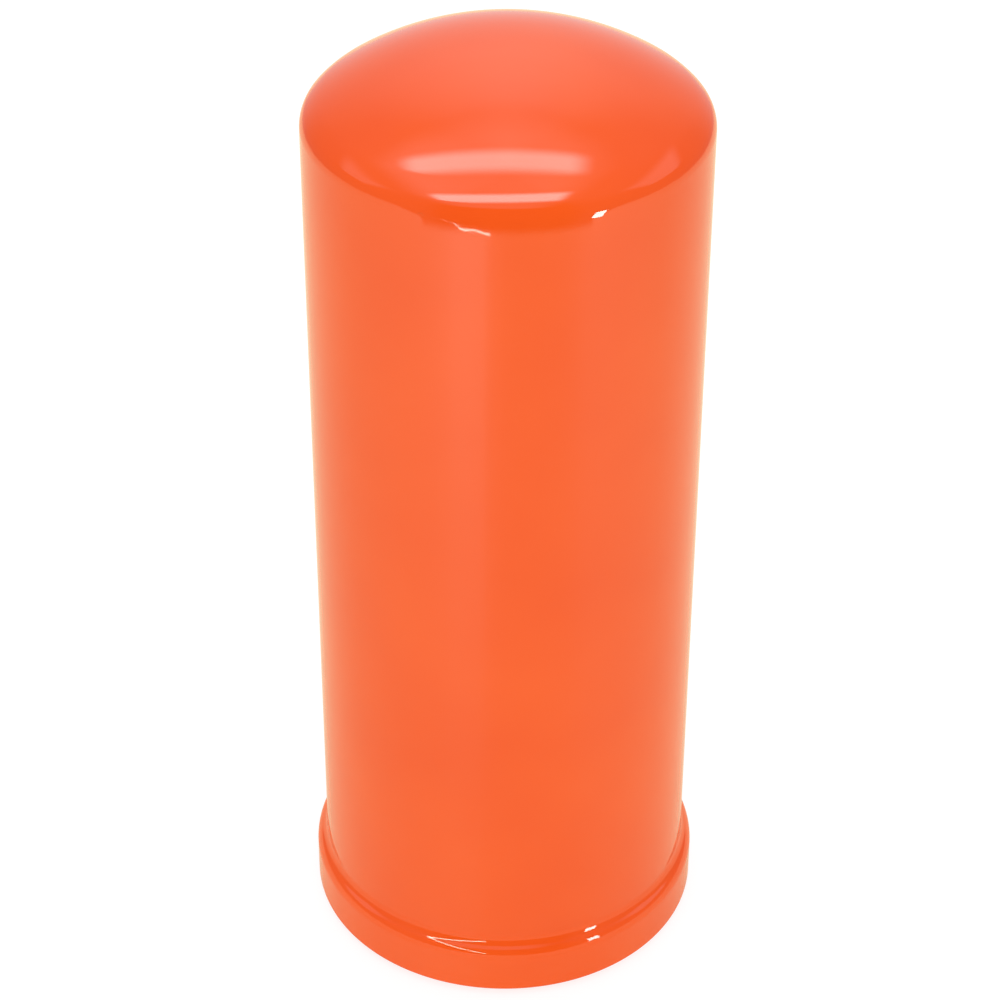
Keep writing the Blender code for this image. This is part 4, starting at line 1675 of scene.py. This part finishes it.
    def add_panel(
        self,
        tree: bpy.types.NodeTree,
        panel: SkyPanel,
        across: bpy.types.NodeSocket,
        back: bpy.types.NodeSocket,
        total: bpy.types.NodeSocket,
    ) -> bpy.types.NodeSocket:
        """Adds one soft-edged panel to the tent's light.

        Args:
            tree: The world's node tree.
            panel: The panel.
            across: How far the direction leans across.
            back: How far it leans back.
            total: The light so far.

        Returns:
            The light with the panel in it.
        """
        bent = add_node(tree, "Math", {0: across, 1: panel.bow, 2: panel.slant}, operation="MULTIPLY_ADD")
        shift = add_node(tree, "Math", {0: across, 1: bent.outputs[0]}, operation="MULTIPLY")
        level = add_node(tree, "Math", {0: back, 1: shift.outputs[0]}, operation="SUBTRACT").outputs[0]
        sides = []
        for lean, middle, half, edge in (
            (across, panel.across, panel.half_across, panel.edge_across),
            (level, panel.back, panel.half_back, panel.edge_back),
        ):
            off = add_node(tree, "Math", {0: lean, 1: middle}, operation="SUBTRACT")
            away = add_node(tree, "Math", {0: off.outputs[0]}, operation="ABSOLUTE")
            fade = add_node(
                tree,
                "MapRange",
                {"Value": away.outputs[0], 1: half - edge / 2, 2: half + edge / 2, 3: 1.0, 4: 0.0},
                interpolation_type="SMOOTHSTEP",
            )
            sides.append(fade.outputs[0])
        shape = add_node(tree, "Math", {0: sides[0], 1: sides[1]}, operation="MULTIPLY")
        added = add_node(
            tree, "Math", {0: shape.outputs[0], 1: panel.light, 2: total}, operation="MULTIPLY_ADD"
        )
        return added.outputs[0]

    def tent_walls(
        self, tree: bpy.types.NodeTree, way: bpy.types.NodeSocket, up: bpy.types.NodeSocket
    ) -> bpy.types.NodeSocket:
        """Shades the tent's walls from the dark front to the bright back, and by height.

        Args:
            tree: The world's node tree.
            way: The direction that is looked in.
            up: Its upward part.

        Returns:
            The walls' light.
        """
        level = add_node(tree, "VectorMath", {0: way, 1: (1.0, 1.0, 0.0)}, operation="MULTIPLY")
        facing = add_node(tree, "VectorMath", {0: level.outputs[0]}, operation="NORMALIZE")
        depth = add_node(tree, "SeparateXYZ", {0: facing.outputs[0]})
        share = add_node(tree, "MapRange", {"Value": depth.outputs["Y"], 1: -1.0, 2: 1.0})
        round_back = [((1 + math.cos(math.radians(angle))) / 2, light) for angle, light in self.walls]
        around = self.grey_ramp(tree, share.outputs[0], round_back)
        upward = self.grey_ramp(tree, up, self.heights)
        walls = add_node(tree, "Math", {0: around, 1: upward}, operation="MULTIPLY")
        return walls.outputs[0]

    def grey_ramp(
        self, tree: bpy.types.NodeTree, value: bpy.types.NodeSocket, stops: Sequence[Point]
    ) -> bpy.types.NodeSocket:
        """Turns a value into light along a row of stops.

        Args:
            tree: The node tree.
            value: A number from 0 to 1.
            stops: Each stop's place and light.

        Returns:
            The light.
        """
        curve = add_node(tree, "FloatCurve", {"Value": value})
        most = max(light for _place, light in stops)
        points = curve.mapping.curves[0].points
        for index, (place, light) in enumerate(stops):
            spot = (place, light / most)
            if index in (0, len(stops) - 1):
                points[0 if index == 0 else -1].location = spot
            else:
                points.new(*spot)
        curve.mapping.update()
        scaled = add_node(tree, "Math", {0: curve.outputs[0], 1: most}, operation="MULTIPLY")
        return scaled.outputs[0]

    def hang(self, lamp: StripLamp) -> None:
        """Hangs one lamp that only shows in gloss, its face turned to the filter."""
        start, end = Vector(lamp.start), Vector(lamp.end)
        along = (end - start).normalized()
        middle = (start + end) / 2
        inward = Vector((0.0, 0.0, 120 * MM)) - middle
        facing = (inward - along * inward.dot(along)).normalized()
        data = bpy.data.lights.new(lamp.name, "AREA")
        data.shape = "RECTANGLE"
        data.size = (end - start).length
        data.size_y = lamp.width
        data.color = lamp.colour
        data.energy = lamp.light * math.pi * data.size * data.size_y
        obj = bpy.data.objects.new(lamp.name, data)
        bpy.context.scene.collection.objects.link(obj)
        turn = Matrix((along, facing.cross(along) * -1, facing * -1)).transposed()
        obj.matrix_world = Matrix.Translation(middle) @ turn.to_4x4()
        obj.visible_camera = False
        obj.visible_diffuse = False


@dataclass
class Camera:
    """A long lens that looks down on the filter from the front."""

    place: tuple[float, float, float] = (0.0, -563.2 * MM, 510.8 * MM)
    down: float = 34.87
    left: float = 0.146
    roll: float = 0.238
    lens: float = 101.5

    def build(self) -> None:
        """Adds the camera and makes it the scene's."""
        data = bpy.data.cameras.new("camera")
        data.lens = self.lens
        data.sensor_width = 36.0
        data.clip_start = 0.01
        camera = bpy.data.objects.new("camera", data)
        bpy.context.scene.collection.objects.link(camera)
        turn = Matrix.Rotation(math.radians(self.left), 4, "Z")
        tilt = Matrix.Rotation(math.radians(90 - self.down), 4, "X")
        roll = Matrix.Rotation(math.radians(self.roll), 4, "Z")
        camera.matrix_world = Matrix.Translation(self.place) @ turn @ tilt @ roll
        bpy.context.scene.camera = camera
        view = bpy.context.scene.view_settings
        view.view_transform = "Standard"
        view.look = "None"


def main() -> None:
    """Builds the filter's sub-assemblies in order, then the studio, and logs each piece's face count."""
    logging.basicConfig(level=logging.INFO, format="%(name)s: %(message)s")
    for assembly in (Can(), Mouth(), DrainValve(), Element(), Bypass(), HoldDown()):
        LOG.info("building %s", type(assembly).__name__)
        assembly.build()
    Studio().build()


if __name__ == "__main__":
    main()
